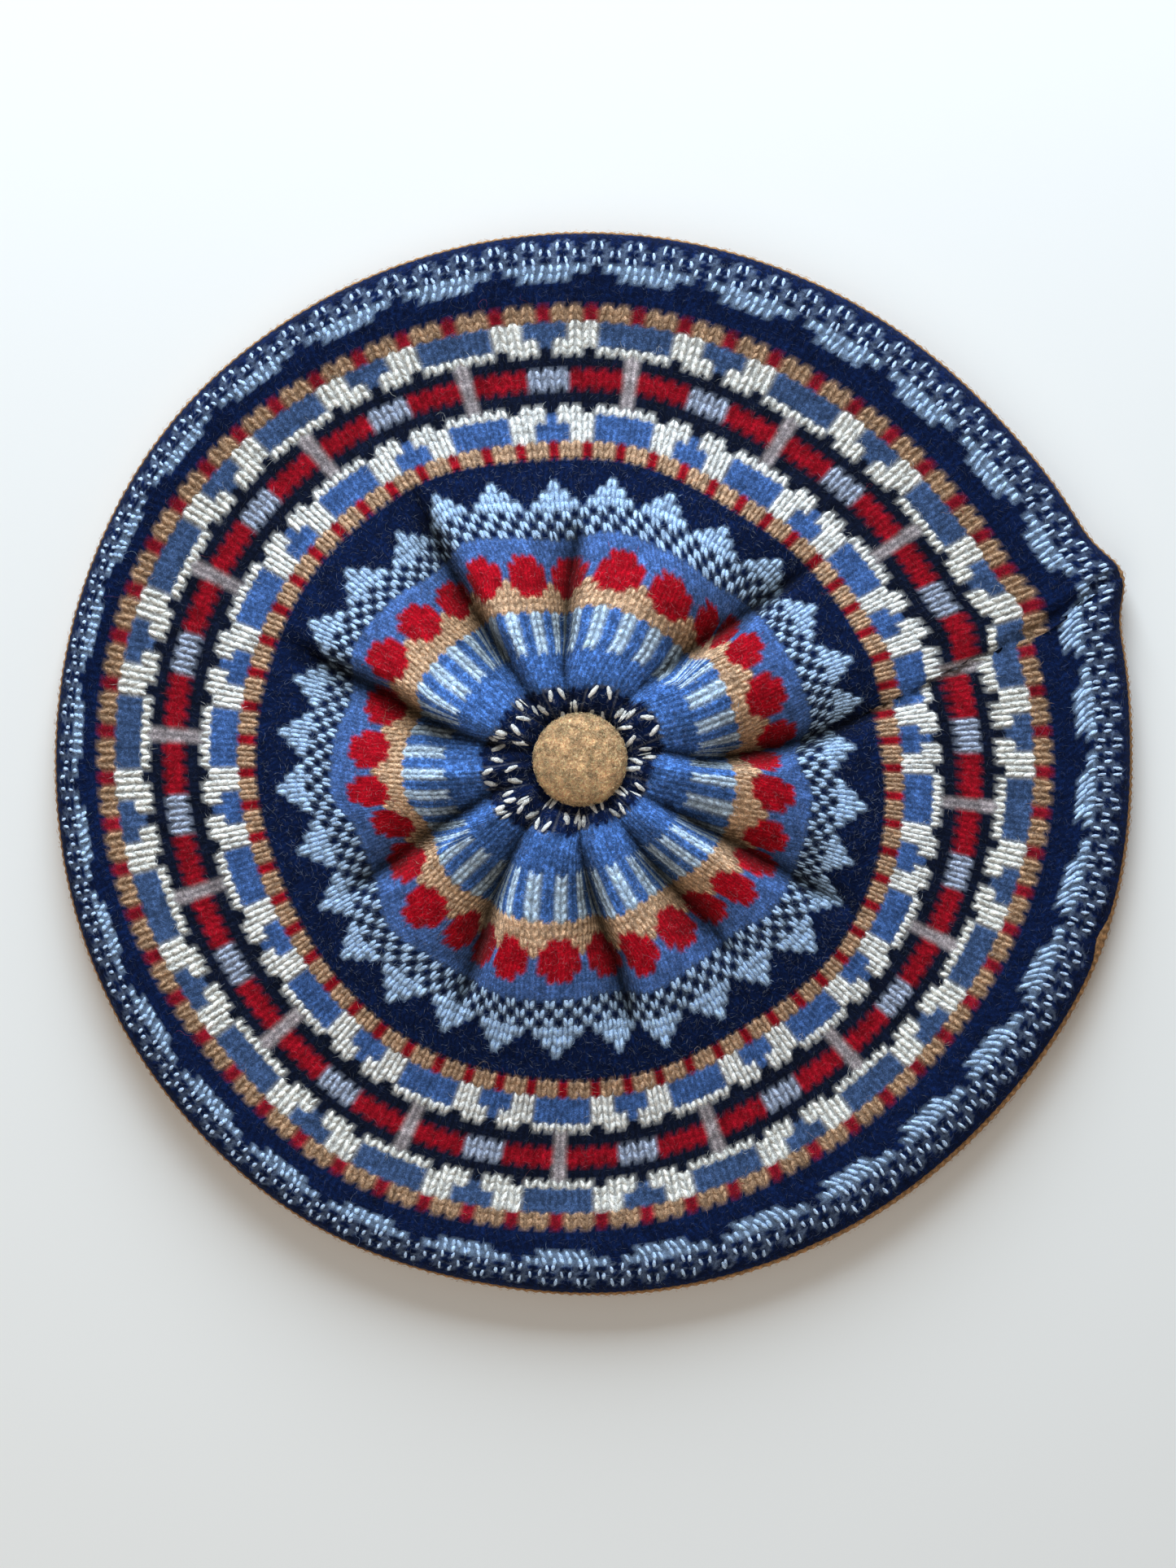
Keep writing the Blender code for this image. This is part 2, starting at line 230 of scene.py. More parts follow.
# Yarns: colour (sRGB), how far it is felted, and how much paler wool is spun in
YARNS = {
    "N": ((9, 26, 64), 1.0, 0.6),  # navy
    "K": ((13, 21, 42), 0.9, 0.5),  # dark navy
    "L": ((182, 211, 246), 0.15, 0.2),  # light blue
    "P": ((190, 214, 246), 0.15, 0.2),  # light blue of the rim
    "S": ((204, 228, 254), 0.4, 0.3),  # light blue of the stripes
    "B": ((64, 88, 130), 0.9, 0.6),  # denim blue
    "A": ((68, 102, 163), 0.9, 0.6),  # blue inside the grey and red
    "D": ((80, 115, 181), 0.95, 0.6),  # blue behind the dots
    "F": ((74, 116, 188), 1.0, 0.9),  # bright blue
    "R": ((154, 14, 32), 0.9, 0.4),  # red
    "r": ((188, 13, 35), 0.9, 0.3),  # red of the dots
    # painted shade: Q is the red R painted darker for the shade of the outer ring
    "Q": ((140, 20, 38), 0.9, 0.4),  # red of the outer ring
    "T": ((212, 176, 145), 0.5, 0.5),  # tan
    # painted shade: O and I are the tan T painted darker for the shade of the outer and inner tan
    # rings
    "O": ((168, 136, 109), 0.3, 0.5),  # tan of the outer ring
    "I": ((184, 151, 124), 0.3, 0.5),  # tan of the inner ring
    "C": ((236, 236, 232), 0.1, 0.3),  # undyed, outside the red
    "W": ((238, 239, 238), 0.1, 0.3),  # undyed, inside it
    "t": ((166, 156, 160), 0.6, 0.5),  # taupe
    "v": ((164, 175, 198), 0.4, 0.4),  # lavender grey
    "U": ((182, 138, 96), 0.5, 0.4),  # tan brown of the underside
}
BUTTON_COLOUR = (232, 194, 152)
FIBRE_COLOUR = (206, 214, 226)  # palest of the loose fibres


def smoothstep(start, full, value):
    """0 at start, 1 at full, with a soft start and end."""
    share = np.clip((value - start) / (full - start), 0.0, 1.0)
    return share * share * (3.0 - 2.0 * share)


def degrees_apart(angle, other):
    """Signed distance between two directions."""
    return (angle - other + 180.0) % TURN - 180.0


def mix(one, other, share):
    """Between two values."""
    return one + (other - one) * share


def cubic(start, end, slope_start, slope_end, share):
    """Between two values, with these slopes at them."""
    bend = 3 * (end - start) - 2 * slope_start - slope_end
    twist = 2 * (start - end) + slope_start + slope_end
    return start + share * (slope_start + share * (bend + share * twist))


def smooth_curve(table_x, table_y, x):
    """Value at x of a smooth curve through a table, with no overshoot. Each x may have its own
    table, along the last axis of table_y."""
    step = np.diff(table_x)
    rise = np.diff(table_y, axis=-1) / step
    product = rise[..., :-1] * rise[..., 1:]
    total = rise[..., :-1] + rise[..., 1:]
    inner = np.where(product > 0, 2.0 * product / np.where(total == 0, 1, total), 0.0)
    slope = np.concatenate([rise[..., :1], inner, rise[..., -1:]], axis=-1)
    first = np.clip(np.searchsorted(table_x, x, side="right") - 1, 0, len(step) - 1)
    share = (x - table_x[first]) / step[first]
    slope_start = pick(slope, first) * step[first]
    slope_end = pick(slope, first + 1) * step[first]
    return cubic(pick(table_y, first), pick(table_y, first + 1), slope_start, slope_end, share)


def pick(table, index):
    """Entries of one table, or of a table for each index."""
    if table.ndim == 1:
        return table[index]
    return np.take_along_axis(table, index[..., None], -1)[..., 0]


def ring_radius(ring, angle):
    """Radius of the edge or of a tan row in a direction."""
    section = (angle % TURN) / SECTION_STEP
    first = section.astype(int)
    share = section - first
    before, start, end, after = (
        SECTIONS[(first + step) % len(SECTIONS), ring] for step in (-1, 0, 1, 2))
    radius = cubic(start, end, (end - before) / 2, (after - start) / 2, share)
    beside_seam = degrees_apart(angle, SEAM_DEG) / SEAM_WIDTH_DEG
    return radius + SEAM_PULL[ring] * np.exp(-beside_seam ** 2)


def fold_climb(angle):
    """How far above the widest line the crown ends, in radians along the fold's arc."""
    facing = np.maximum(np.cos(np.radians(angle - LIP_EXTRA_DEG)), 0.0)
    bump = LIP_BUMP * np.exp(-(degrees_apart(angle, LIP_BUMP_DEG) / LIP_BUMP_WIDTH_DEG) ** 2)
    return np.arccos(1.0 - (LIP + LIP_EXTRA * facing ** 4 + bump) / FOLD_DEPTH)


def crown_radius(angle, reach):
    """Radius of a ring of the crown in a direction."""
    fold = ring_radius(EDGE, angle) - FOLD_DEPTH * (1.0 - np.cos(fold_climb(angle)))
    outer = ring_radius(OUTER_TAN, angle)
    inner = ring_radius(INNER_TAN, angle)
    radius = fold + np.minimum(reach, 1.0) * (outer - fold)
    radius = radius + np.clip(reach - 1.0, 0.0, 1.0) * (inner - outer)
    return radius - np.clip(reach - 2.0, 0.0, 1.0) * inner


def crease_direction(crease, radius):
    """Direction of a crease at a radius."""
    return np.interp(radius / MM, CREASE_RADII[::-1], crease[:CREASE_REACH][::-1])


def beside_crease(crease, angle, radius):
    """Distance of a place from the middle line of a crease."""
    return radius * np.radians(degrees_apart(angle, crease_direction(crease, radius)))


def groove(away, lower_width, higher_width, rounding):
    """Share of its full depth that a crease has beside its middle line."""
    width = np.where(away < 0, lower_width, higher_width)
    return np.maximum(1.0 - (np.hypot(away, rounding) - rounding) / width, 0.0) ** 2


def crease_drop(angle, radius, height):
    """How far the creases and the seam lower the crown from a height."""
    width = np.maximum(np.minimum(CREASE_WIDTH, CREASE_SPREAD * radius), CREASE_NARROWEST)
    share = (height - CREASE_FLOOR) / (CREST_HEIGHT - CREASE_FLOOR)
    drop = np.zeros_like(radius)
    for crease in CREASES:
        away = beside_crease(crease, angle, radius)
        reach = crease[CREASE_REACH] * MM
        depth = crease[CREASE_DEPTH] * MM * share
        depth = depth * smoothstep(reach, reach * (1.0 - CREASE_FADE), radius)
        depth = np.minimum(depth, CREASE_STEEPNESS * width ** 2)
        lower_width = np.maximum(crease[LOWER_SIDE] * width, CREASE_LEAST_SIDE)
        higher_width = np.maximum(crease[HIGHER_SIDE] * width, CREASE_LEAST_SIDE)
        side = groove(away, lower_width, higher_width, CREASE_ROUNDING)
        drop = np.maximum(drop, depth * side)
    away = beside_crease(CREASES[0], angle, radius)
    pucker = PUCKER_DEPTH * smoothstep(PUCKER_STARTS, PUCKER_FULL, radius)
    return drop + pucker * groove(away, PUCKER_WIDTH, PUCKER_WIDTH, 0.0)


def place(angle, radius, height):
    """World places from directions and radii round the hub."""
    turn = np.radians(angle)
    return np.stack([HUB[0] + radius * np.cos(turn), HUB[1] + radius * np.sin(turn),
                     np.broadcast_to(height, radius.shape)], axis=-1)


def profile_height(reach):
    """Height of the crown's outside, without its creases."""
    return smooth_curve(*CROWN_PROFILE.T, np.maximum(reach, 0.0)) * MM


def crown_height(angle, radius, reach):
    """Height of the crown's outside."""
    height = profile_height(reach)
    fold = FOLD_HEIGHT + FOLD_RISE * np.sin(fold_climb(angle)) - CROWN_PROFILE[0, 1] * MM
    height = height + fold * np.clip(1.0 - reach / FOLD_TOP, 0.0, 1.0)
    height = height + np.minimum(reach, 0.0) * EDGE_SLOPE
    return height - crease_drop(angle, radius, height)


# Columns and rows of the crown

def round_table(values, turn=0.0):
    """A table over the columns, carried past both ends of the round."""
    values = np.asarray(values, float)
    wrapped = np.concatenate([values[-2:] - turn, values, values[:3] + turn])
    return np.arange(-2, HALF_REPEATS + 3) * float(HALF_REPEAT), wrapped


RIM_TABLE, BAND_TABLE, TIP_TABLE, DOT_TABLE = (
    round_table(degrees, TURN) for degrees in (RIM_DEG, BAND_DEG, TIP_DEG, DOT_DEG))
TIP_RADIUS = round_table(TIP_PIXELS * PHOTO_PIXEL * TIP_VIEW)
DOT_RADIUS = round_table(DOT_PIXELS * PHOTO_PIXEL * DOT_VIEW)
NAVY_RADIUS = round_table(NAVY_PIXELS * PHOTO_PIXEL * NAVY_VIEW)
PETAL_RADIUS = 50.0 * MM  # where the petals are widest
PETAL_FULL_RADIUS = 48.0 * MM  # and where the creases have swallowed all that they do
CROWDED_RADIUS = 38.0 * MM  # from here in, the columns crowd towards the creases
HUB_STARTS, HUB_ENDS = 40.0 * MM, 20.0 * MM


def petal_edges():
    """The columns that run into the creases at the widest part of the petals."""
    columns = np.arange(-HALF_REPEAT, STITCHES + HALF_REPEAT, 0.05)
    directions = smooth_curve(*DOT_TABLE, columns)
    first = directions[0] + HALF_REPEAT
    edges = [crease_direction(crease, PETAL_RADIUS) for crease in CREASES]
    edges = sorted(edge if edge > first else edge + TURN for edge in edges)
    return np.interp(edges, directions, columns), np.array(edges)


PETAL_COLUMNS, PETAL_DEGREES = petal_edges()
IN_ORDER = sorted(CREASES, key=lambda row: row[3])


def saturate(value):
    """Grows as value does up to about 1, and then levels off."""
    return value / (1.0 + np.abs(value) ** 4) ** 0.25


def petal_angle(column, radius):
    """Direction of a column inside the dots, where the creases swallow columns."""
    flower = smooth_curve(*DOT_TABLE, column)
    petal = np.searchsorted(PETAL_COLUMNS, column) - 1
    last = len(CREASES) - 1
    flower = np.where(petal < 0, flower + TURN, flower)
    petal = np.where(petal < 0, last, petal)
    start = PETAL_DEGREES[petal]
    after = (petal + 1) % len(CREASES)
    end = np.where(petal == last, PETAL_DEGREES[0] + TURN, PETAL_DEGREES[after])
    turns = np.stack([degrees_apart(crease_direction(crease, radius),
                                    crease_direction(crease, PETAL_RADIUS))
                      for crease in IN_ORDER])
    index = np.arange(column.size)
    turn_start = turns[petal, index]
    turn_end = turns[after, index]
    middle = (start + end + turn_start + turn_end) / 2
    half = radius * np.radians(end - start + turn_end - turn_start) / 2
    full_half = PETAL_RADIUS * np.radians(end - start) / 2
    away = PETAL_RADIUS * np.radians(flower - (start + end) / 2)
    even = away * half / full_half
    crowd = mix(1.0, HUB_CROWDING, smoothstep(HUB_STARTS, HUB_ENDS, radius))
    crowded = half * saturate(crowd * away / half) / saturate(crowd * full_half / half)
    share = smoothstep(PETAL_RADIUS, CROWDED_RADIUS, radius)
    return middle + np.degrees(mix(even, crowded, share) / radius)


def inner_radius(column, row, angle):
    """Radius of a row inside the inner tan ring."""
    tip = smooth_curve(*TIP_RADIUS, column)
    dot = smooth_curve(*DOT_RADIUS, column)
    navy = smooth_curve(*NAVY_RADIUS, column)
    tan = ring_radius(INNER_TAN, angle)
    hub = navy - HUB_PITCH * PHOTO_PIXEL * (HUB_LAST - HUB_ROW)
    rings = [tan, tip, dot, mix(navy, dot, STRIPE_SHARE), mix(navy, dot, PLAIN_SHARE), navy, hub,
             np.full_like(tan, CENTRE_RADIUS)]
    rows = [TAN_ROW, TIP_ROW, DOT_ROW, STRIPE_ROW, PLAIN_ROW, HUB_ROW, HUB_LAST, LAST_ROW]
    return smooth_curve(np.array(rows, float), np.stack(rings, axis=-1), row)


def crown_place(column, row):
    """Direction and reach of a column and a row of the crown."""
    wrapped = column % STITCHES
    rim, band, tip, dot = (smooth_curve(*table, wrapped)
                           for table in (RIM_TABLE, BAND_TABLE, TIP_TABLE, DOT_TABLE))
    angle = mix(rim, band, smoothstep(RIM_LAST, BAND_FIRST, row))
    angle = mix(angle, tip, smoothstep(TAN_ROW, TIP_ROW, row))
    angle = mix(angle, dot, smoothstep(DOT_FROM_ROW, DOT_ROW, row))
    beside = wrapped - np.interp(row, SEAM_ROWS, SEAM_COLUMNS)
    beside = np.where(beside > STITCHES / 2, beside - STITCHES, beside)
    jog = SEAM_JOG * np.sign(beside) * np.exp(-np.abs(beside) / SEAM_JOG_COLUMNS)
    jog = jog * smoothstep(SEAM_JOG_STARTS, SEAM_JOG_FULL, row)
    jog = jog * smoothstep(SEAM_JOG_ENDS, SEAM_JOG_FADES, row)
    stepped = row - jog
    reach = smooth_curve(*ROW_REACH.T, np.minimum(stepped, TAN_ROW + 1.0))
    radius = np.where(stepped > TAN_ROW, inner_radius(wrapped, stepped, angle), 0.0)
    radius = np.maximum(radius, CENTRE_RADIUS)
    inside = petal_angle(wrapped.ravel(), radius.ravel()).reshape(wrapped.shape)
    inside = angle + degrees_apart(inside, angle)
    within = smoothstep(PETAL_RADIUS, PETAL_FULL_RADIUS, radius) * (stepped > DOT_FROM_ROW)
    angle = mix(angle, inside, within)
    inner = ring_radius(INNER_TAN, angle)
    reach = np.where(stepped > TAN_ROW, 3.0 - radius / inner, reach)
    return angle, reach


def crown_ways(column, row):
    """Direction, radius and reach of columns and rows of the crown, whole or not."""
    angle, reach = crown_place(column, row)
    return angle, crown_radius(angle, reach), reach


def crown_point(column, row):
    """Place on the crown's outside."""
    angle, radius, reach = crown_ways(column, row)
    return place(angle, radius, crown_height(angle, radius, reach))


# Shade down in the creases

HOLLOW_DEPTH = 8.0 * MM  # of a crease that takes all the shade there is
WIDE_SHADE, LINE_SHADE = 0.40, 0.85  # how much darker its sides are, and its bottom besides
LINE_WIDTH, LINE_DEPTH = 2.2 * MM, 3.5 * MM
LINE_NARROWEST, LINE_SHARPNESS = 0.4, 1.2
HOLLOW_TINT = np.array([1.0, 0.92, 0.80])
SEAM_SHADE, SEAM_SHADE_WIDTH = 0.4, 1.4 * MM
SEAM_SHADE_STARTS, SEAM_SHADE_FULL = 60.0 * MM, 75.0 * MM


def crease_line(angle, radius, drop):
    """How near a place is to the bottom of a crease or to the seam, from 0 to 1."""
    width = LINE_WIDTH * np.clip(radius / PETAL_RADIUS, LINE_NARROWEST, 1.0)
    nearest = np.min([np.abs(beside_crease(crease, angle, radius)) for crease in CREASES], axis=0)
    line = np.exp(-(nearest / width) ** LINE_SHARPNESS) * np.clip(drop / LINE_DEPTH, 0.0, 1.0)
    seam = np.exp(-(beside_crease(CREASES[0], angle, radius) / SEAM_SHADE_WIDTH) ** 2)
    seam = SEAM_SHADE * seam * smoothstep(SEAM_SHADE_STARTS, SEAM_SHADE_FULL, radius)
    return np.maximum(line, seam)


def hollow_shade(column, row):
    """Share of each colour that is left down in a crease, where the light is warm."""
    angle, radius, reach = crown_ways(column, row)
    drop = crease_drop(angle, radius, profile_height(reach))
    deep = np.clip(drop / HOLLOW_DEPTH, 0.0, 1.0)[..., None]
    line = crease_line(angle, radius, drop)[..., None]
    left = (1.0 - WIDE_SHADE * deep) * (1.0 - LINE_SHADE * line)
    return left * mix(1.0, HOLLOW_TINT, deep)


# Underside: a path from the colour change round the fold, down and in to the band

UNDERSIDE_ROWS = 17
FOLD_ROWS = 4.6
QUARTER = math.pi / 2


def underside_point(column, row):
    """Place on the outside of the underside. Row 0 is the colour change."""
    angle = smooth_curve(*RIM_TABLE, column % STITCHES)
    climb = fold_climb(angle)
    turned = np.clip(-climb + (row / FOLD_ROWS) * (QUARTER + climb), -climb - 0.2, QUARTER)
    edge = ring_radius(EDGE, angle)
    depth = np.where(turned < 0, FOLD_DEPTH, UNDERSIDE_FALL_DEPTH)
    rise = np.where(turned < 0, FOLD_RISE, FOLD_HEIGHT)
    radius = edge - depth * (1.0 - np.cos(turned))
    height = FOLD_HEIGHT - rise * np.sin(turned)
    run = np.clip((row - FOLD_ROWS) / (UNDERSIDE_ROWS - FOLD_ROWS), 0.0, 1.0)
    return place(angle, mix(radius, UNDERSIDE_INNER, run), np.where(run > 0, 0.0, height))


def underside_face(column, row):
    """The same places, with the columns counted the way that turns their outside out."""
    return underside_point(-column, row)


def unit(vectors):
    """The same directions, of length 1."""
    return vectors / np.maximum(np.linalg.norm(vectors, axis=-1, keepdims=True), 1e-12)


def frame_at(point, column, row, step=0.12):
    """Places with the directions across the column, along it and out of the cloth."""
    centre = point(column, row)
    across = (point(column + step, row) - point(column - step, row)) / (2 * step)
    along = (point(column, row + step) - point(column, row - step)) / (2 * step)
    return centre, across, along, unit(np.cross(across, along))


# Meshes

def linear(colour):
    """Linear colour of one written as 0 to 255."""
    share = np.asarray(colour, float) / 255.0
    return np.where(share <= 0.04045, share / 12.92, ((share + 0.055) / 1.055) ** 2.4)


def added(name, data):
    """A new object in the scene."""
    piece = bpy.data.objects.new(name, data)
    bpy.context.scene.collection.objects.link(piece)
    return piece


def add_mesh(name, places, faces, colours, bake, material):
    """An object from arrays: places, faces of one size, a map, and each vertex's colour and
    share of paler wool."""
    mesh = bpy.data.meshes.new(name)
    count, sides = faces.shape
    mesh.vertices.add(len(places))
    mesh.vertices.foreach_set("co", places.astype(np.float32).ravel())
    mesh.loops.add(count * sides)
    mesh.loops.foreach_set("vertex_index", faces.astype(np.int32).ravel())
    mesh.polygons.add(count)
    mesh.polygons.foreach_set("loop_start", np.arange(0, count * sides, sides, dtype=np.int32))
    mesh.polygons.foreach_set("use_smooth", np.ones(count, bool))
    tint = mesh.attributes.new("yarn", "FLOAT_COLOR", "POINT")
    tint.data.foreach_set("color", colours.astype(np.float32).ravel())
    layer = mesh.uv_layers.new(name="OFBake")
    layer.uv.foreach_set("vector", bake.astype(np.float32).ravel())
    mesh.update(calc_edges=True)
    mesh.validate()
    mesh.materials.append(material)
    return added(name, mesh)


def add_rings(name, rings, tint, material):
    """A closed surface from rings of places and their colours, mapped as one sheet."""
    count, columns = rings.shape[:2]
    index = np.arange(count * columns).reshape(count, columns)
    after = np.roll(index, -1, axis=1)
    below = [np.roll(after, -1, axis=0), np.roll(index, -1, axis=0)]
    quads = np.stack([index, after, *below], axis=-1)
    ring = np.arange(count)[:, None] / count
    column = np.arange(columns)[None, :] / columns
    corners = [(0, 0), (1 / columns, 0), (1 / columns, 1 / count), (0, 1 / count)]
    laid = [np.stack(np.broadcast_arrays(column + du, ring + dv), axis=-1) for du, dv in corners]
    bake = np.stack(laid, axis=2).reshape(-1, 2)
    return add_mesh(name, rings.reshape(-1, 3), quads.reshape(-1, 4), tint.reshape(-1, 4), bake,
                    material)


def spindle_faces(sides, rings):
    """Triangles of a spindle, two tips with some rings between them, and its map."""
    corners = [(0, 0.5), (1, 1), (1, 0)]  # ring, and sides on
    for ring in range(1, rings):
        corners += [(ring, 0), (ring, 1), (ring + 1, 1), (ring, 0), (ring + 1, 1), (ring + 1, 0)]
    corners += [(rings, 0), (rings, 1), (rings + 1, 0.5)]
    ring, on = np.array(corners).reshape(-1, 1, 3, 2).transpose(3, 0, 1, 2)
    ring, side = np.broadcast_arrays(ring, np.arange(sides)[:, None] + on)
    number = np.clip(1 + (ring - 1) * sides + side % sides, 0, 1 + rings * sides).astype(int)
    spots = np.stack([side, ring], axis=-1) / np.array([sides, rings + 1])
    return number.reshape(-1, 3), spots.reshape(-1, 3, 2)


def add_spindles(name, ways, half_height, sides, tint, material):
    """One piece of many closed spindles. The ways are their stations, from tip to tip, the
    sideways and upward directions there, and half widths. Each has a cell of the map."""
    centres, across, up, half_width = ways
    turn = 2 * math.pi * (np.arange(sides) + 0.5) / sides
    ring = (centres[:, 1:-1, None]
            + across[:, 1:-1, None] * (half_width[:, 1:-1, None] * np.cos(turn))[..., None]
            + up[:, 1:-1, None] * (half_height[:, 1:-1, None] * np.sin(turn))[..., None])
    count, rings = ring.shape[:2]
    # painted shade: each ring is darker on its under side
    under = mix(UNDER_SHADE, 1.0, smoothstep(*UNDER_SHADE_EDGE, np.sin(turn)))
    under = np.stack([under, under, under, np.ones(sides)], axis=1)
    tints = (tint[:, 1:-1, None] * under).reshape(count, rings * sides, 4)
    tints = np.concatenate([tint[:, :1], tints, tint[:, -1:]], axis=1)
    ring = ring.reshape(count, rings * sides, 3)
    places = np.concatenate([centres[:, :1], ring, centres[:, -1:]], axis=1)
    faces, spots = spindle_faces(sides, rings)
    number = np.arange(count)
    faces = number[:, None, None] * places.shape[1] + faces
    cells = math.ceil(math.sqrt(count))
    cell = np.stack([number % cells, number // cells], 1)[:, None, None]
    bake = (cell + 0.1 + 0.8 * spots) / cells
    return add_mesh(name, places.reshape(-1, 3), faces.reshape(-1, 3), tints.reshape(-1, 4),
                    bake.reshape(-1, 2), material)


# Stitches: two legs each, closed spindles whose ends dive under their neighbours

LEG_PATH = np.array([
    # columns aside, rows on, depth below the cloth's outside in thicknesses
    (0.15, -0.22, 0.66),
    (0.18, 0.08, 0.40),
    (0.25, 0.50, 0.28),
    (0.32, 0.92, 0.38),
    (0.35, 1.24, 0.66),
])
LEG_SWELL = np.array([0.0, 0.72, 1.0, 0.66, 0.0])
# painted shade: share of a leg's colour at each station, darker at the ends that dive under its
# neighbours
LEG_END_SHADE = np.array([0.75, 0.92, 1.0, 0.94, 0.75])
LEG_MIDDLE = 0.25  # stitches from its middle to that of a leg
LEG_SHARE = 0.46  # widest a leg is over the width of its stitch
LEG_THICKEST, LEG_THINNEST = 1.25 * MM, 0.25 * MM
LEG_FLATNESS = 0.80
LEG_SIDES = 5
LEG_SLIM = {"L": 1.15, "T": 0.95}  # thickness of some yarns over the others'
LEG_SLIDE, LEG_SLIP = 0.025, 0.05  # how unevenly they lie, in columns and rows,
LEG_UNEVEN, LEG_SHADES = 0.11, 0.08  # and how uneven their thickness and colour are
RIM_LOOSE, RIM_LOOSE_ROWS = 2.5, (7.0, 9.0)  # more unevenly in the rim, up to these rows
STEEP, STEEP_THINNEST, STEEP_FROM_ROW = 1.25, 0.3, 6.0  # they are thinner on steep slopes
FELTED = 0.55  # felt from which a stitch is only relief in the cloth
# painted shade: share of a leg's or fibre's colour left on its under side, and the sines of its way
# round over which it grows back to full colour
UNDER_SHADE, UNDER_SHADE_EDGE = 0.75, (-0.9, 0.3)  # of a leg's colour on its under side
LOST_WIDTH = 0.75 * MM  # a crease has swallowed a stitch narrower than this,
LOST_GROWTH = 0.25  # and somewhat wider ones where stitches are wide


def legs(columns, rows, width, slim, long, spread):
    """Ways of both legs of some stitches, with their columns, rows and unevenness."""
    wobble = np.random.default_rng(len(columns)).normal(0.0, 1.0, (2 * len(columns), 4))
    hand = np.tile([-1.0, 1.0], len(columns))[:, None]
    column = np.repeat(columns, 2)[:, None]
    row = np.repeat(rows, 2)[:, None]
    aside = LEG_MIDDLE + (LEG_PATH[:, 0] - LEG_MIDDLE) * spread
    loose = mix(RIM_LOOSE, 1.0, smoothstep(*RIM_LOOSE_ROWS, row))
    at_column = column + width * hand * (aside + LEG_SLIDE * loose * wobble[:, :1])
    at_row = row + 0.5 + (LEG_PATH[:, 1] - 0.5) * long + LEG_SLIP * loose * wobble[:, 1:2]
    centre, across, _, out = frame_at(crown_point, at_column, at_row)
    thick = LEG_SHARE * width * np.linalg.norm(across, axis=-1)
    thick = np.clip(thick, LEG_THINNEST, LEG_THICKEST) * (1.0 + LEG_UNEVEN * wobble[:, 2:3])
    slope = np.clip(STEEP * out[..., 2], STEEP_THINNEST, 1.0)
    thick = thick * np.where(at_row > STEEP_FROM_ROW, slope, 1.0)
    centre = centre - out * (thick * LEG_PATH[:, 2])[..., None]
    half = thick * np.repeat(slim, 2)[:, None] / 2 * LEG_SWELL
    side = unit(np.cross(np.gradient(centre, axis=1), out))
    return (centre, side, out, half), at_column, at_row, wobble[:, 3:4]


CLEAR_STITCHES = [
    # name, first round, round after the last, stitches a round, and how thick, long and
    # spread their legs are over the usual
    ("rim_stitches", 0, 9, STITCHES, 0.8, 1.05, 0.5),
    ("band_stitches", 9, 25, STITCHES, 0.95, 1.2, 1.0),
    ("petal_stitches", 25, 40, STITCHES, 1.0, 1.0, 1.0),
    ("stripe_stitches", *STRIPES[:3], 1.0, 1.0, 1.0),
    ("hub_stitches", *HUB_CHART[:3], 1.2, 1.0, 1.1),
]


def stitches(material, name, first, last, count, slim, long, spread):
    """Stitches of some rounds that stand clear, but for those that a crease has swallowed."""
    columns, rows = np.meshgrid(np.arange(count) * STITCHES / count, np.arange(first, last))
    columns, rows = columns.ravel(), rows.ravel().astype(float)
    letters = np.array([chart_letter(column, row) for column, row in zip(columns, rows)])
    width = STITCHES / count
    there = np.linalg.norm(crown_point(columns + width / 2, rows + 0.5)
                           - crown_point(columns - width / 2, rows + 0.5), axis=1)
    clear = np.array([YARNS[letter][1] < FELTED for letter in letters])
    kept = (there > LOST_WIDTH * width ** LOST_GROWTH) & clear
    slim = slim * np.array([LEG_SLIM.get(letter, 1.0) for letter in letters[kept]])
    ways, column, row, uneven = legs(columns[kept], rows[kept], width, slim, long, spread)
    number = np.repeat([YARN_ORDER.index(letter) for letter in letters[kept]], 2)
    # painted shade at the legs' ends, times a random tone for each leg
    shade = (1.0 + LEG_SHADES * uneven) * LEG_END_SHADE
    tint = YARN_COLOURS[number][:, None] * shade[..., None] * hollow_shade(column, row)
    tint = coloured(tint, YARN_PALER[number][:, None])
    return add_spindles(name, ways, ways[3] * LEG_FLATNESS, LEG_SIDES, tint, material)


def chart_letter(column, row):
    """Yarn of the crown at a column and a row, whole or not."""
    row = min(int(row), HUB_LAST)
    for first, last, count, lines in (STRIPES, HUB_CHART):
        if first <= row < last:
            line = lines[row - first]
            return line[int(round(column * count / STITCHES)) % len(line)]
    if row >= HUB_LAST:
        return "N"
    line = CHART[row]
    repeat = 2 * (len(line) - 1)
    away = int(round(column)) % repeat
    return line[min(away, repeat - away)]


def stitch_width(row):
    """Columns to a stitch, which grow towards the hub."""
    inner = np.where(row < HUB_CHART[0], STITCHES / STRIPES[2], STITCHES / HUB_CHART[2])
    return np.where(row < STRIPES[0], 1.0, inner)


def yarn_numbers():
    """Number of the yarn of each stitch of each row."""
    numbers = np.zeros((LAST_ROW, STITCHES), int)
    for row in range(LAST_ROW):
        width = float(stitch_width(row))
        for stitch in range(round(STITCHES / width)):
            numbers[row, stitch] = YARN_ORDER.index(chart_letter(stitch * width, row))
    return numbers


YARN_ORDER = list(YARNS)
YARN_COLOURS = linear([yarn[0] for yarn in YARNS.values()])
YARN_FELT = np.array([yarn[1] for yarn in YARNS.values()])
YARN_PALER = np.array([yarn[2] for yarn in YARNS.values()])
YARN_NUMBERS = yarn_numbers()
STITCH_SHADE = np.random.default_rng(3).normal(1.0, 0.12, YARN_NUMBERS.shape)


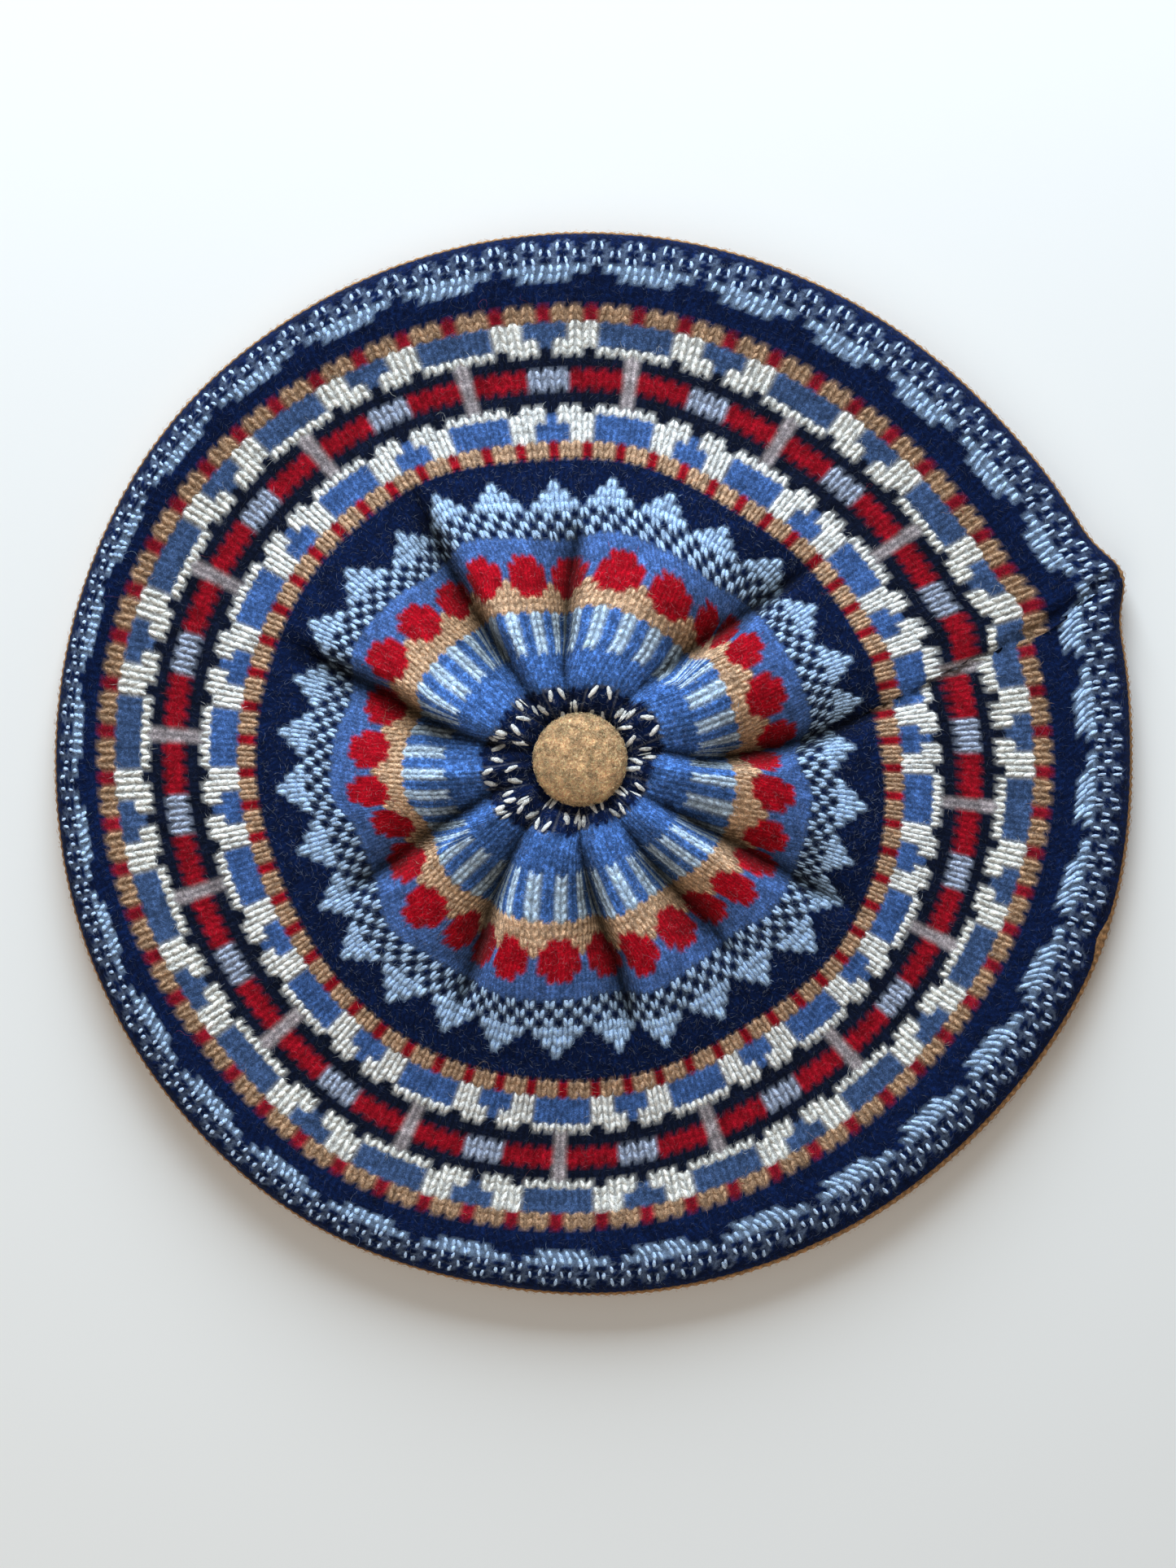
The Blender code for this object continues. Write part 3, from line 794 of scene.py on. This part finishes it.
def coloured(colour, paler):
    """Vertex colours with how much paler wool is in them."""
    paler = np.broadcast_to(paler, colour.shape[:-1])
    return np.concatenate([np.clip(colour, 0.0, 1.0), paler[..., None]], axis=-1)


# Cloth: closed surfaces in which the stitches are a soft relief

LEG_LEAN = 2.0  # rows that a leg climbs over the width of a stitch
LEG_INNER, LEG_OUTER = 0.12, 0.38  # stitches from its middle to a leg
LEG_FALL = 0.45  # how much lower a leg is at its ends


def relief(column, row, width):
    """Row whose leg covers a place, and how high the leg stands there, from 0 to 1."""
    aside = np.abs(column / width - np.round(column / width))
    phase = row - 0.5 - LEG_LEAN * (np.clip(aside, LEG_INNER, LEG_OUTER) - LEG_MIDDLE)
    covering = np.round(phase)
    across = np.abs(aside - LEG_MIDDLE) / LEG_MIDDLE
    along = 2.0 * np.abs(phase - covering)
    return covering, (1.0 - across ** 2) * (1.0 - LEG_FALL * along ** 2)


def crown_yarn(column, row):
    """Colour, felting, paler wool and relief of the crown's cloth at some places."""
    covering, high = relief(column, row, stitch_width(row))
    covering = np.clip(covering, 0, LAST_ROW - 1).astype(int)
    width = stitch_width(covering)
    stitch = (np.round(column / width) % np.round(STITCHES / width)).astype(int)
    number = YARN_NUMBERS[covering, stitch]
    colour = YARN_COLOURS[number] * STITCH_SHADE[covering, stitch][..., None]
    return colour, YARN_FELT[number], YARN_PALER[number], high


def even_yarn(column, row, near=0.02):
    """The same, evened out where two stitches meet."""
    around = [crown_yarn(column + x, row + u) for x in (-near, near) for u in (-near, near)]
    return [sum(values) / len(around) for values in zip(*around)]


# Loose fibres

FIBRE_SIDES = 3
# Least and greatest share of the usual length, lift, width and colour
FIBRE_LENGTHS, FIBRE_LIFTS, FIBRE_WIDTHS = (0.5, 1.3), (0.3, 1.2), (0.7, 1.3)
FIBRE_SHADES = 0.7, 1.25
FIBRE_ARCH = 0.15, 0.60  # half turns of the arch before its start, and along it
FIBRE_ROOT = 0.3 * MM  # depth of a fibre's ends in the cloth
FIBRE_LOWEST = 0.1 * MM  # above the floor
FIBRE_NAVY = 0.8  # of the navy in the cloth below


def fibres(point, columns, rows, count, length, thickness, stations, curl, lift, seed):
    """Ways of fibres that lie loose on the cloth, evenly over its area, with their columns,
    rows and random numbers."""
    rng = np.random.default_rng(seed)
    column = rng.uniform(*columns, 3 * count)
    row = rng.uniform(*rows, 3 * count)
    centre, across, along, out = frame_at(point, column, row)
    area = np.linalg.norm(np.cross(across, along), axis=1)
    chosen = np.flatnonzero(rng.uniform(0, np.quantile(area, 0.98), len(area)) < area)[:count]
    centre, across, out = centre[chosen], across[chosen], out[chosen]
    across = unit(across)
    along = np.cross(out, across)
    count = len(chosen)
    reach = length * rng.uniform(*FIBRE_LENGTHS, (count, 1))
    turn = rng.uniform(0, 2 * math.pi, (count, 1))
    bends = np.cumsum(rng.normal(0.0, curl, (count, stations - 1)), axis=1)
    heading = turn + rng.normal(0.0, curl, (count, 1)) * np.arange(stations - 1) + bends
    step = reach / (stations - 1)
    x, y = (np.cumsum(np.pad(step * way, ((0, 0), (1, 0))), axis=1)
            for way in (np.cos(heading), np.sin(heading)))
    share = np.linspace(0.0, 1.0, stations)
    top = lift * rng.uniform(*FIBRE_LIFTS, (count, 1))
    arch = math.pi * (FIBRE_ARCH[0] + FIBRE_ARCH[1] * share)
    z = -FIBRE_ROOT + (FIBRE_ROOT + top) * np.sin(arch)
    path = (centre[:, None] + across[:, None] * x[..., None] + along[:, None] * y[..., None]
            + out[:, None] * z[..., None])
    side = unit(np.cross(np.gradient(path, axis=1), out[:, None]))
    up = np.broadcast_to(out[:, None], path.shape)
    half = np.full(path.shape[:2], thickness / 2) * rng.uniform(*FIBRE_WIDTHS, (count, 1))
    path[..., 2] = np.maximum(path[..., 2], FIBRE_LOWEST)
    return (path, side, up, half), column[chosen], row[chosen], rng


def add_fibres(name, ways, tint, material):
    """One piece from fibres, in one colour each."""
    tint = np.repeat(coloured(tint, 0.0)[:, None], ways[0].shape[1], axis=1)
    return add_spindles(name, ways, ways[3], FIBRE_SIDES, tint, material)


CROWN_FIBRES = [
    # name, share of paler wool, then as for fibres
    ("outer_fibres", 0.15, (0.6, 25.0), 22500, 2.4 * MM, 0.07 * MM, 3, 0.5, 0.30 * MM, 21),
    ("inner_fibres", 0.30, (25.0, 55.0), 21000, 2.2 * MM, 0.08 * MM, 3, 0.7, 0.35 * MM, 22),
    ("long_fibres", 0.20, (3.0, 54.0), 250, 8.0 * MM, 0.05 * MM, 11, 0.6, 0.5 * MM, 23),
]


def crown_fibres(material, name, pale, *values):
    """Loose fibres of the crown, in its own colours, some of them paler."""
    ways, column, row, rng = fibres(crown_point, (0, STITCHES), *values)
    tint = linear([YARNS[chart_letter(x, u)][0] for x, u in zip(column, row)])
    tint = tint * rng.uniform(*FIBRE_SHADES, (len(tint), 1))
    tint = mix(tint, YARN_COLOURS[0], np.interp(row, *NAVY_UNDER)[:, None] * FIBRE_NAVY)
    tint = mix(tint, linear(FIBRE_COLOUR), pale * rng.uniform(0.0, 1.0, (len(tint), 1)))
    return add_fibres(name, ways, tint * hollow_shade(column, row), material)


def plain_fibres(material, name, point, colour, darkest, palest, *values):
    """Loose fibres of one wool, between two shares of its colour."""
    ways, column, _, rng = fibres(point, *values)
    tint = linear(colour) * rng.uniform(darkest, palest, (len(column), 1))
    return add_fibres(name, ways, tint, material)


# Materials

CLOUD_SCALE, SPUN_SCALE, FINE_SCALE = 450.0, 1050.0, 4200.0  # features per metre
NOISE_RANGE = 0.3, 0.7  # where most of a noise's values are
SPUN_RANGE, SPUN_SHARES = (0.47, 0.64), (-0.15, 1.3)  # values, and the paler wool at them
LINE_SCALES, LINE_SHIFT = (1500.0, 1100.0), 5.0
LINE_HALF_WIDTH, LINE_LIGHT, LINE_RISE = 0.035, 0.45, 0.5
NAP_DEPTH = 0.12 * MM
SURFACE = {"Roughness": 0.95, "Specular IOR Level": 0.04, "Sheen Weight": 0.03,
           "Sheen Roughness": 0.6}
WOOLS = [
    # name, depth of its clouds, depth of its flecks, strength of its nap
    ("felted_wool", 0.24, 0.44, 0.7),
    ("tan_wool", 0.18, 0.30, 0.6),
    ("camel_felt", 0.36, 0.45, 0.8),
]


def node(tree, kind, **values):
    """A node with some of its inputs set."""
    made = tree.nodes.new(kind)
    for key, value in values.items():
        made.inputs[key.replace("_", " ")].default_value = value
    return made


def math_node(tree, operation, first, second):
    """A sum, product or the like of two outputs, or of an output and a number."""
    made = tree.nodes.new("ShaderNodeMath")
    made.operation = operation
    tree.links.new(first, made.inputs[0])
    if isinstance(second, float):
        made.inputs[1].default_value = second
    else:
        tree.links.new(second, made.inputs[1])
    return made.outputs["Value"]


def ranged(tree, value, start, end, first, last):
    """An output spread from one range over another."""
    made = node(tree, "ShaderNodeMapRange", From_Min=start, From_Max=end, To_Min=first, To_Max=last)
    tree.links.new(value, made.inputs["Value"])
    return made.outputs["Result"]


def wool_noise(tree, where, scale, detail):
    """A noise over the cloth, with features of about 1 / scale metres."""
    noise = node(tree, "ShaderNodeTexNoise", Scale=scale, Detail=detail, Roughness=0.6)
    tree.links.new(where.outputs["Object"], noise.inputs["Vector"])
    return noise.outputs["Fac"]


def fibre_lines(tree, where):
    """Thin curling lines, where one of two noises crosses its middle value."""
    lines = []
    for number, scale in enumerate(LINE_SCALES):
        moved = tree.nodes.new("ShaderNodeVectorMath")
        moved.operation = "ADD"
        moved.inputs[1].default_value = (number * LINE_SHIFT,) * 3
        tree.links.new(where.outputs["Object"], moved.inputs[0])
        noise = node(tree, "ShaderNodeTexNoise", Scale=scale, Detail=1.0, Distortion=0.8)
        tree.links.new(moved.outputs["Vector"], noise.inputs["Vector"])
        off = math_node(tree, "SUBTRACT", noise.outputs["Fac"], 0.5)
        off = math_node(tree, "ABSOLUTE", off, 0.0)
        lines.append(ranged(tree, off, 0.0, LINE_HALF_WIDTH, 1.0, 0.0))
    return math_node(tree, "MAXIMUM", *lines)


def wool(name, cloud_depth, fleck_depth, bump):
    """Felted wool: the yarn's colour, clouded, with paler wool, fine fibres and a nap."""
    material = bpy.data.materials.new(name)
    material.use_nodes = True
    tree = material.node_tree
    links = tree.links
    shader = tree.nodes["Principled BSDF"]
    yarn = tree.nodes.new("ShaderNodeAttribute")
    yarn.attribute_name = "yarn"
    where = tree.nodes.new("ShaderNodeTexCoord")
    cloud = wool_noise(tree, where, CLOUD_SCALE, 2.0)
    fine = wool_noise(tree, where, FINE_SCALE, 2.0)
    lines = fibre_lines(tree, where)
    spun = wool_noise(tree, where, SPUN_SCALE, 4.0)
    paler = ranged(tree, spun, *SPUN_RANGE, *SPUN_SHARES)
    paler = math_node(tree, "MULTIPLY", paler, yarn.outputs["Alpha"])
    paler = math_node(tree, "ADD", paler, math_node(tree, "MULTIPLY", lines, LINE_LIGHT))
    clouds = ranged(tree, cloud, *NOISE_RANGE, 1.0 - cloud_depth, 1.0 + cloud_depth)
    flecks = ranged(tree, fine, *NOISE_RANGE, 1.0 - fleck_depth, 1.0 + fleck_depth)
    light = math_node(tree, "MULTIPLY", clouds, flecks)
    light = math_node(tree, "MULTIPLY", light, math_node(tree, "ADD", paler, 1.0))
    colour = tree.nodes.new("ShaderNodeVectorMath")
    colour.operation = "SCALE"
    links.new(yarn.outputs["Color"], colour.inputs[0])
    links.new(light, colour.inputs["Scale"])
    links.new(colour.outputs["Vector"], shader.inputs["Base Color"])
    height = math_node(tree, "ADD", math_node(tree, "MULTIPLY", lines, LINE_RISE), fine)
    nap = node(tree, "ShaderNodeBump", Strength=bump, Distance=NAP_DEPTH)
    links.new(height, nap.inputs["Height"])
    links.new(nap.outputs["Normal"], shader.inputs["Normal"])
    for name, value in SURFACE.items():
        shader.inputs[name].default_value = value
    return material


# Pieces

STITCH_COLUMNS, STITCH_ROWS = 4, 3  # vertices to a stitch of the cloth
INSIDE_STEP = 6  # rings of the outside to one of the plain inside
INSIDE_DEPTH = 0.95 * WALL
INSIDE_TURN = 0.0, 4.0  # rows over which the way inward turns from level to down
CLEAR_SINK, CLEAR_RELIEF = 0.30 * MM, 0.40 * MM  # of the cloth under clear stitches
FELTED_RELIEF = 0.42 * MM
# painted shade: share of the yarn's colour left in the cloth between the legs
CLEAR_GAP_SHADE, FELTED_GAP_SHADE = 0.62, 0.55  # of the yarn's colour, between the legs
GAP_NAVY = 0.35  # share of navy in the cloth between clear stitches
# None and all of the navy shows at these values of the felt, and of blue over red
NAVY_FELT, NAVY_BLUE = (0.75, 0.45), (0.5, 0.8)
# Navy in the cloth under the stitches of the rim, the scallops and the hub: rows and share
NAVY_UNDER = ([4.7, 5.3, 7.0, 9.0, 26.5, 29.7, 30.3, 33.0, 34.0, 50.0, 51.0],
              [1.0, 0.6, 0.6, 0.0, 0.0, 0.2, 0.9, 0.9, 0.0, 0.0, 1.0])
WIDE_STITCH, LEAST_RELIEF = 3.0 * MM, 0.2  # full relief at this width, or less of it
# relief of the underside, the painted shade left between its legs as a share of its colour, and its
# darker inside
PLAIN_RELIEF, PLAIN_GAP_SHADE, PLAIN_INSIDE = 0.35 * MM, 0.45, 0.6  # of the underside


def cloth_grid(first, last):
    """Columns and rows of the vertices of some rounds."""
    columns = np.arange(STITCH_COLUMNS * STITCHES) / STITCH_COLUMNS
    rows = np.arange(STITCH_ROWS * first, STITCH_ROWS * last + 1) / STITCH_ROWS
    return np.meshgrid(columns, rows)


def add_cloth(name, outer, inner, tint, inside, material):
    """A closed layer of knitting, whose plain inside keeps only a few rings."""
    kept = np.append(np.arange(0, len(outer) - 1, INSIDE_STEP), len(outer) - 1)[::-1]
    rings = np.concatenate([outer, inner[kept]])
    tints = np.concatenate([tint, coloured(inside * np.ones_like(inner[kept]), 0.2)])
    return add_rings(name, rings, tints, material)


def crown_cloth(name, first, last, material):
    """A part of the crown: its outside in full relief, and its plain inside."""
    column, row = cloth_grid(first, last)
    centre, across, _, out = frame_at(crown_point, column, row)
    colour, felt, paler, high = even_yarn(column, row)
    wide = np.linalg.norm(across, axis=-1) * stitch_width(row) / WIDE_STITCH
    depth = mix(CLEAR_SINK, 0.0, felt) + (1.0 - high) * mix(CLEAR_RELIEF, FELTED_RELIEF, felt)
    outer = centre - out * (np.clip(wide, LEAST_RELIEF, 1.0) * depth)[..., None]
    down = smoothstep(*INSIDE_TURN, row)[..., None]
    inward = out * (1.0 - down) + np.array([0.0, 0.0, 1.0]) * down
    # painted shade: the cloth is darker between the legs, where its relief is low
    gap_shade = mix(CLEAR_GAP_SHADE, FELTED_GAP_SHADE, felt)
    navy = np.maximum(np.interp(row, *NAVY_UNDER), GAP_NAVY * (1.0 - high))
    navy = navy * smoothstep(*NAVY_FELT, felt)
    navy = navy * smoothstep(*NAVY_BLUE, colour[..., 2] / colour[..., 0])
    colour = mix(colour * mix(gap_shade, 1.0, high)[..., None], YARN_COLOURS[0], navy[..., None])
    tint = coloured(colour * hollow_shade(column, row), paler)
    return add_cloth(name, outer, centre - inward * INSIDE_DEPTH, tint, YARN_COLOURS[0], material)


def underside_cloth(material):
    """The plain underside, whose stitches point the other way from the crown's."""
    column, row = cloth_grid(0, UNDERSIDE_ROWS)
    centre, _, _, out = frame_at(underside_face, column, row)
    high = relief(column, -row, 1.0)[1]
    outer = centre - out * (PLAIN_RELIEF * (1.0 - high))[..., None]
    yarn = YARN_COLOURS[YARN_ORDER.index("U")]
    # painted shade between the underside's legs
    tint = coloured(yarn * mix(PLAIN_GAP_SHADE, 1.0, high)[..., None], YARNS["U"][2])
    inner = centre - out * INSIDE_DEPTH
    return add_cloth("underside_cloth", outer, inner, tint, yarn * PLAIN_INSIDE, material)


BAND_RIBS, RIB_COLUMNS, BAND_SIDES = 96, 6, 36
BAND_SQUARE, BAND_ROUND = 0.35, 0.7  # of its section's width and height: 1 is an ellipse
RIB_DEPTH = 0.55 * MM
# painted shade: the yarn is darker between the ribs than on them
RIB_GAP_SHADE, RIB_CREST = 0.45, 0.90  # of the yarn's colour between and on the ribs


def bulge(wave, power):
    """A wave from 0 to 1 with flatter or sharper crests."""
    return 0.5 + 0.5 * np.sign(wave) * np.abs(wave) ** power


def head_band(material):
    """The ribbed band: rings round its section, sunk between the ribs."""
    turn = 2 * math.pi * np.arange(BAND_SIDES) / BAND_SIDES
    lift = bulge(np.sin(turn), BAND_ROUND)[:, None]
    radius = BAND_OUTER - BAND_WIDTH * (1.0 - bulge(np.cos(turn), BAND_SQUARE)[:, None])
    direction = TURN * np.arange(BAND_RIBS * RIB_COLUMNS) / (BAND_RIBS * RIB_COLUMNS)
    rib = 0.5 + 0.5 * np.cos(np.radians(direction * BAND_RIBS))
    height = BAND_THICKNESS * lift - RIB_DEPTH * (1.0 - rib) * np.sign(lift - 0.5)
    rings = place(*np.broadcast_arrays(direction[None, :], radius), height)
    # painted shade between the ribs
    tint = linear(YARNS["U"][0]) * mix(RIB_GAP_SHADE, RIB_CREST, rib)[:, None] + 0 * rings
    return add_rings("head_band_rib", rings, coloured(tint, 0.3), material)


BUTTON_WAVES = [
    # lumps round it, degrees that they are turned and radians that they slide down it
    (2, 20.0, 0.4),
    (3, 130.0, 1.9),
    (5, 250.0, 0.9),
    (7, 60.0, 2.6),
    (11, 310.0, 1.2),
]
BUTTON_SIZE, BUTTON_LUMPS, BUTTON_RISE = 0.98, 0.016, 0.10 * MM
BUTTON_RADIANS = 9.0  # of the lumps from its middle to its foot
BUTTON_SIDES, BUTTON_STEPS = 96, 40


def button_point(column, row):
    """Place on the button: columns round it, rows from its middle down its profile."""
    station = np.linspace(0.0, 1.0, len(BUTTON_PROFILE))
    share = np.clip(row, 0.0, 1.0)
    radius = smooth_curve(station, BUTTON_PROFILE[:, 0], share) * MM
    height = smooth_curve(station, BUTTON_PROFILE[:, 1], share) * MM
    angle = -column
    lump = np.zeros_like(column)
    for wave, turn, slide in BUTTON_WAVES:
        down = np.cos(BUTTON_RADIANS * share + slide)
        lump = lump + np.cos(np.radians(wave * angle + turn)) * down / wave
    radius = radius * (BUTTON_SIZE + BUTTON_LUMPS * lump)
    return place(angle, radius, height + BUTTON_RISE * lump)


def button(material):
    """The felt button: a turned dome, slightly uneven."""
    column, row = np.meshgrid(TURN * np.arange(BUTTON_SIDES) / BUTTON_SIDES,
                              np.linspace(0.0, 1.0, BUTTON_STEPS)[1:-1])
    body = button_point(column, row)
    tips = button_point(np.array([0.0, 0.0]), np.array([0.0, 1.0]))
    places = np.concatenate([tips[:1], body.reshape(-1, 3), tips[1:]])
    faces, spots = spindle_faces(BUTTON_SIDES, BUTTON_STEPS - 2)
    tint = coloured(np.broadcast_to(linear(BUTTON_COLOUR), places.shape), 0.4)
    return add_mesh("felt_button", places, faces, tint, spots.reshape(-1, 2), material)


# Stage

CAMERA_X, CAMERA_Y = -1.34 * MM, -5.09 * MM
CAMERA_HEIGHT = 0.95
RIM_PLANE = 11.0 * MM
PICTURE_HEIGHT = 385.4 * MM  # at the rim's height
SENSOR = 36.0
FLOOR_SIZE, FLOOR_GAP = 6.0, 0.05 * MM
FLOOR_COLOUR, FLOOR_ROUGHNESS = (0.88, 0.88, 0.88, 1.0), 0.9
WORLD_COLOUR, WORLD_LIGHT = (1.0, 0.94, 0.86, 1.0), 0.25
LAMPS = [
    # name, place, size, power, colour: from the top of the picture, and from its lower left
    ("key", (-0.05, 1.05, 0.58), 0.8, 21.8, (0.78, 0.905, 1.0)),
    ("fill", (-0.4, -0.6, 1.0), 0.9, 3.4, (1.0, 0.90, 0.76)),
]


def lamp(name, location, size, power, colour):
    """A square soft light aimed at the beret."""
    light = bpy.data.lights.new(name, "AREA")
    light.shape = "SQUARE"
    light.size = size
    light.energy = power
    light.color = colour
    holder = added(name, light)
    holder.location = location
    aim = Vector((0.0, 0.0, 0.01)) - Vector(location)
    holder.rotation_euler = aim.to_track_quat("-Z", "Y").to_euler()


def stage():
    """A pale floor, soft studio light and the camera, straight above."""
    bpy.ops.mesh.primitive_plane_add(size=FLOOR_SIZE, location=(0.0, 0.0, -FLOOR_GAP))
    floor = bpy.context.object
    floor.name = "floor"
    pale = bpy.data.materials.new("pale_floor")
    pale.use_nodes = True
    shader = pale.node_tree.nodes["Principled BSDF"]
    shader.inputs["Base Color"].default_value = FLOOR_COLOUR
    shader.inputs["Roughness"].default_value = FLOOR_ROUGHNESS
    floor.data.materials.append(pale)
    world = bpy.data.worlds.new("studio")
    world.use_nodes = True
    sky = world.node_tree.nodes["Background"].inputs
    sky["Color"].default_value = WORLD_COLOUR
    sky["Strength"].default_value = WORLD_LIGHT
    bpy.context.scene.world = world
    for values in LAMPS:
        lamp(*values)
    camera = added("camera", bpy.data.cameras.new("camera"))
    camera.location = (CAMERA_X, CAMERA_Y, CAMERA_HEIGHT)
    camera.data.sensor_width = SENSOR
    camera.data.lens = SENSOR * (CAMERA_HEIGHT - RIM_PLANE) / PICTURE_HEIGHT
    bpy.context.scene.camera = camera


# Fibres of one wool: name, cloth, colour, its darkest and palest share, then as for fibres
LIP_FIBRES = ("lip_fibres", underside_face, YARNS["U"][0], 0.7, 1.5,
              (0, STITCHES), (0.0, 4.0), 3000, 1.7 * MM, 0.08 * MM, 3, 0.5, 0.35 * MM, 31)
BUTTON_NAP = ("button_nap", button_point, BUTTON_COLOUR, 0.6, 1.7,
              (0.0, TURN), (0.02, 0.62), 8000, 1.6 * MM, 0.10 * MM, 3, 0.7, 0.35 * MM, 5)


def crown_pieces(material):
    """The cloth of the crown, the stitches that stand clear of it, and its loose fibres."""
    cloth = [crown_cloth("border_cloth", 0, TAN_ROW, material),
             crown_cloth("petal_cloth", TAN_ROW, LAST_ROW, material)]
    clear = [stitches(material, *values) for values in CLEAR_STITCHES]
    return cloth + clear + [crown_fibres(material, *values) for values in CROWN_FIBRES]


def main():
    """Every piece, what each rides and replaces, the cloths and the stage."""
    knit, plain, felt = (wool(*values) for values in WOOLS)
    groups = [
        ("crown", "fair_isle_knit", crown_pieces(knit)),
        ("underside", "tan_knit", [underside_cloth(plain), plain_fibres(plain, *LIP_FIBRES)]),
        ("head_band", "tan_rib", [head_band(plain)]),
        ("centre_button", "camel_felt", [button(felt), plain_fibres(felt, *BUTTON_NAP)]),
    ]
    for node_name, finish, group in groups:
        for piece in group:
            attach(piece, "root")
            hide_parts(node_name)
    stage()


main()
bpy.context.scene.view_settings.view_transform = "Standard"
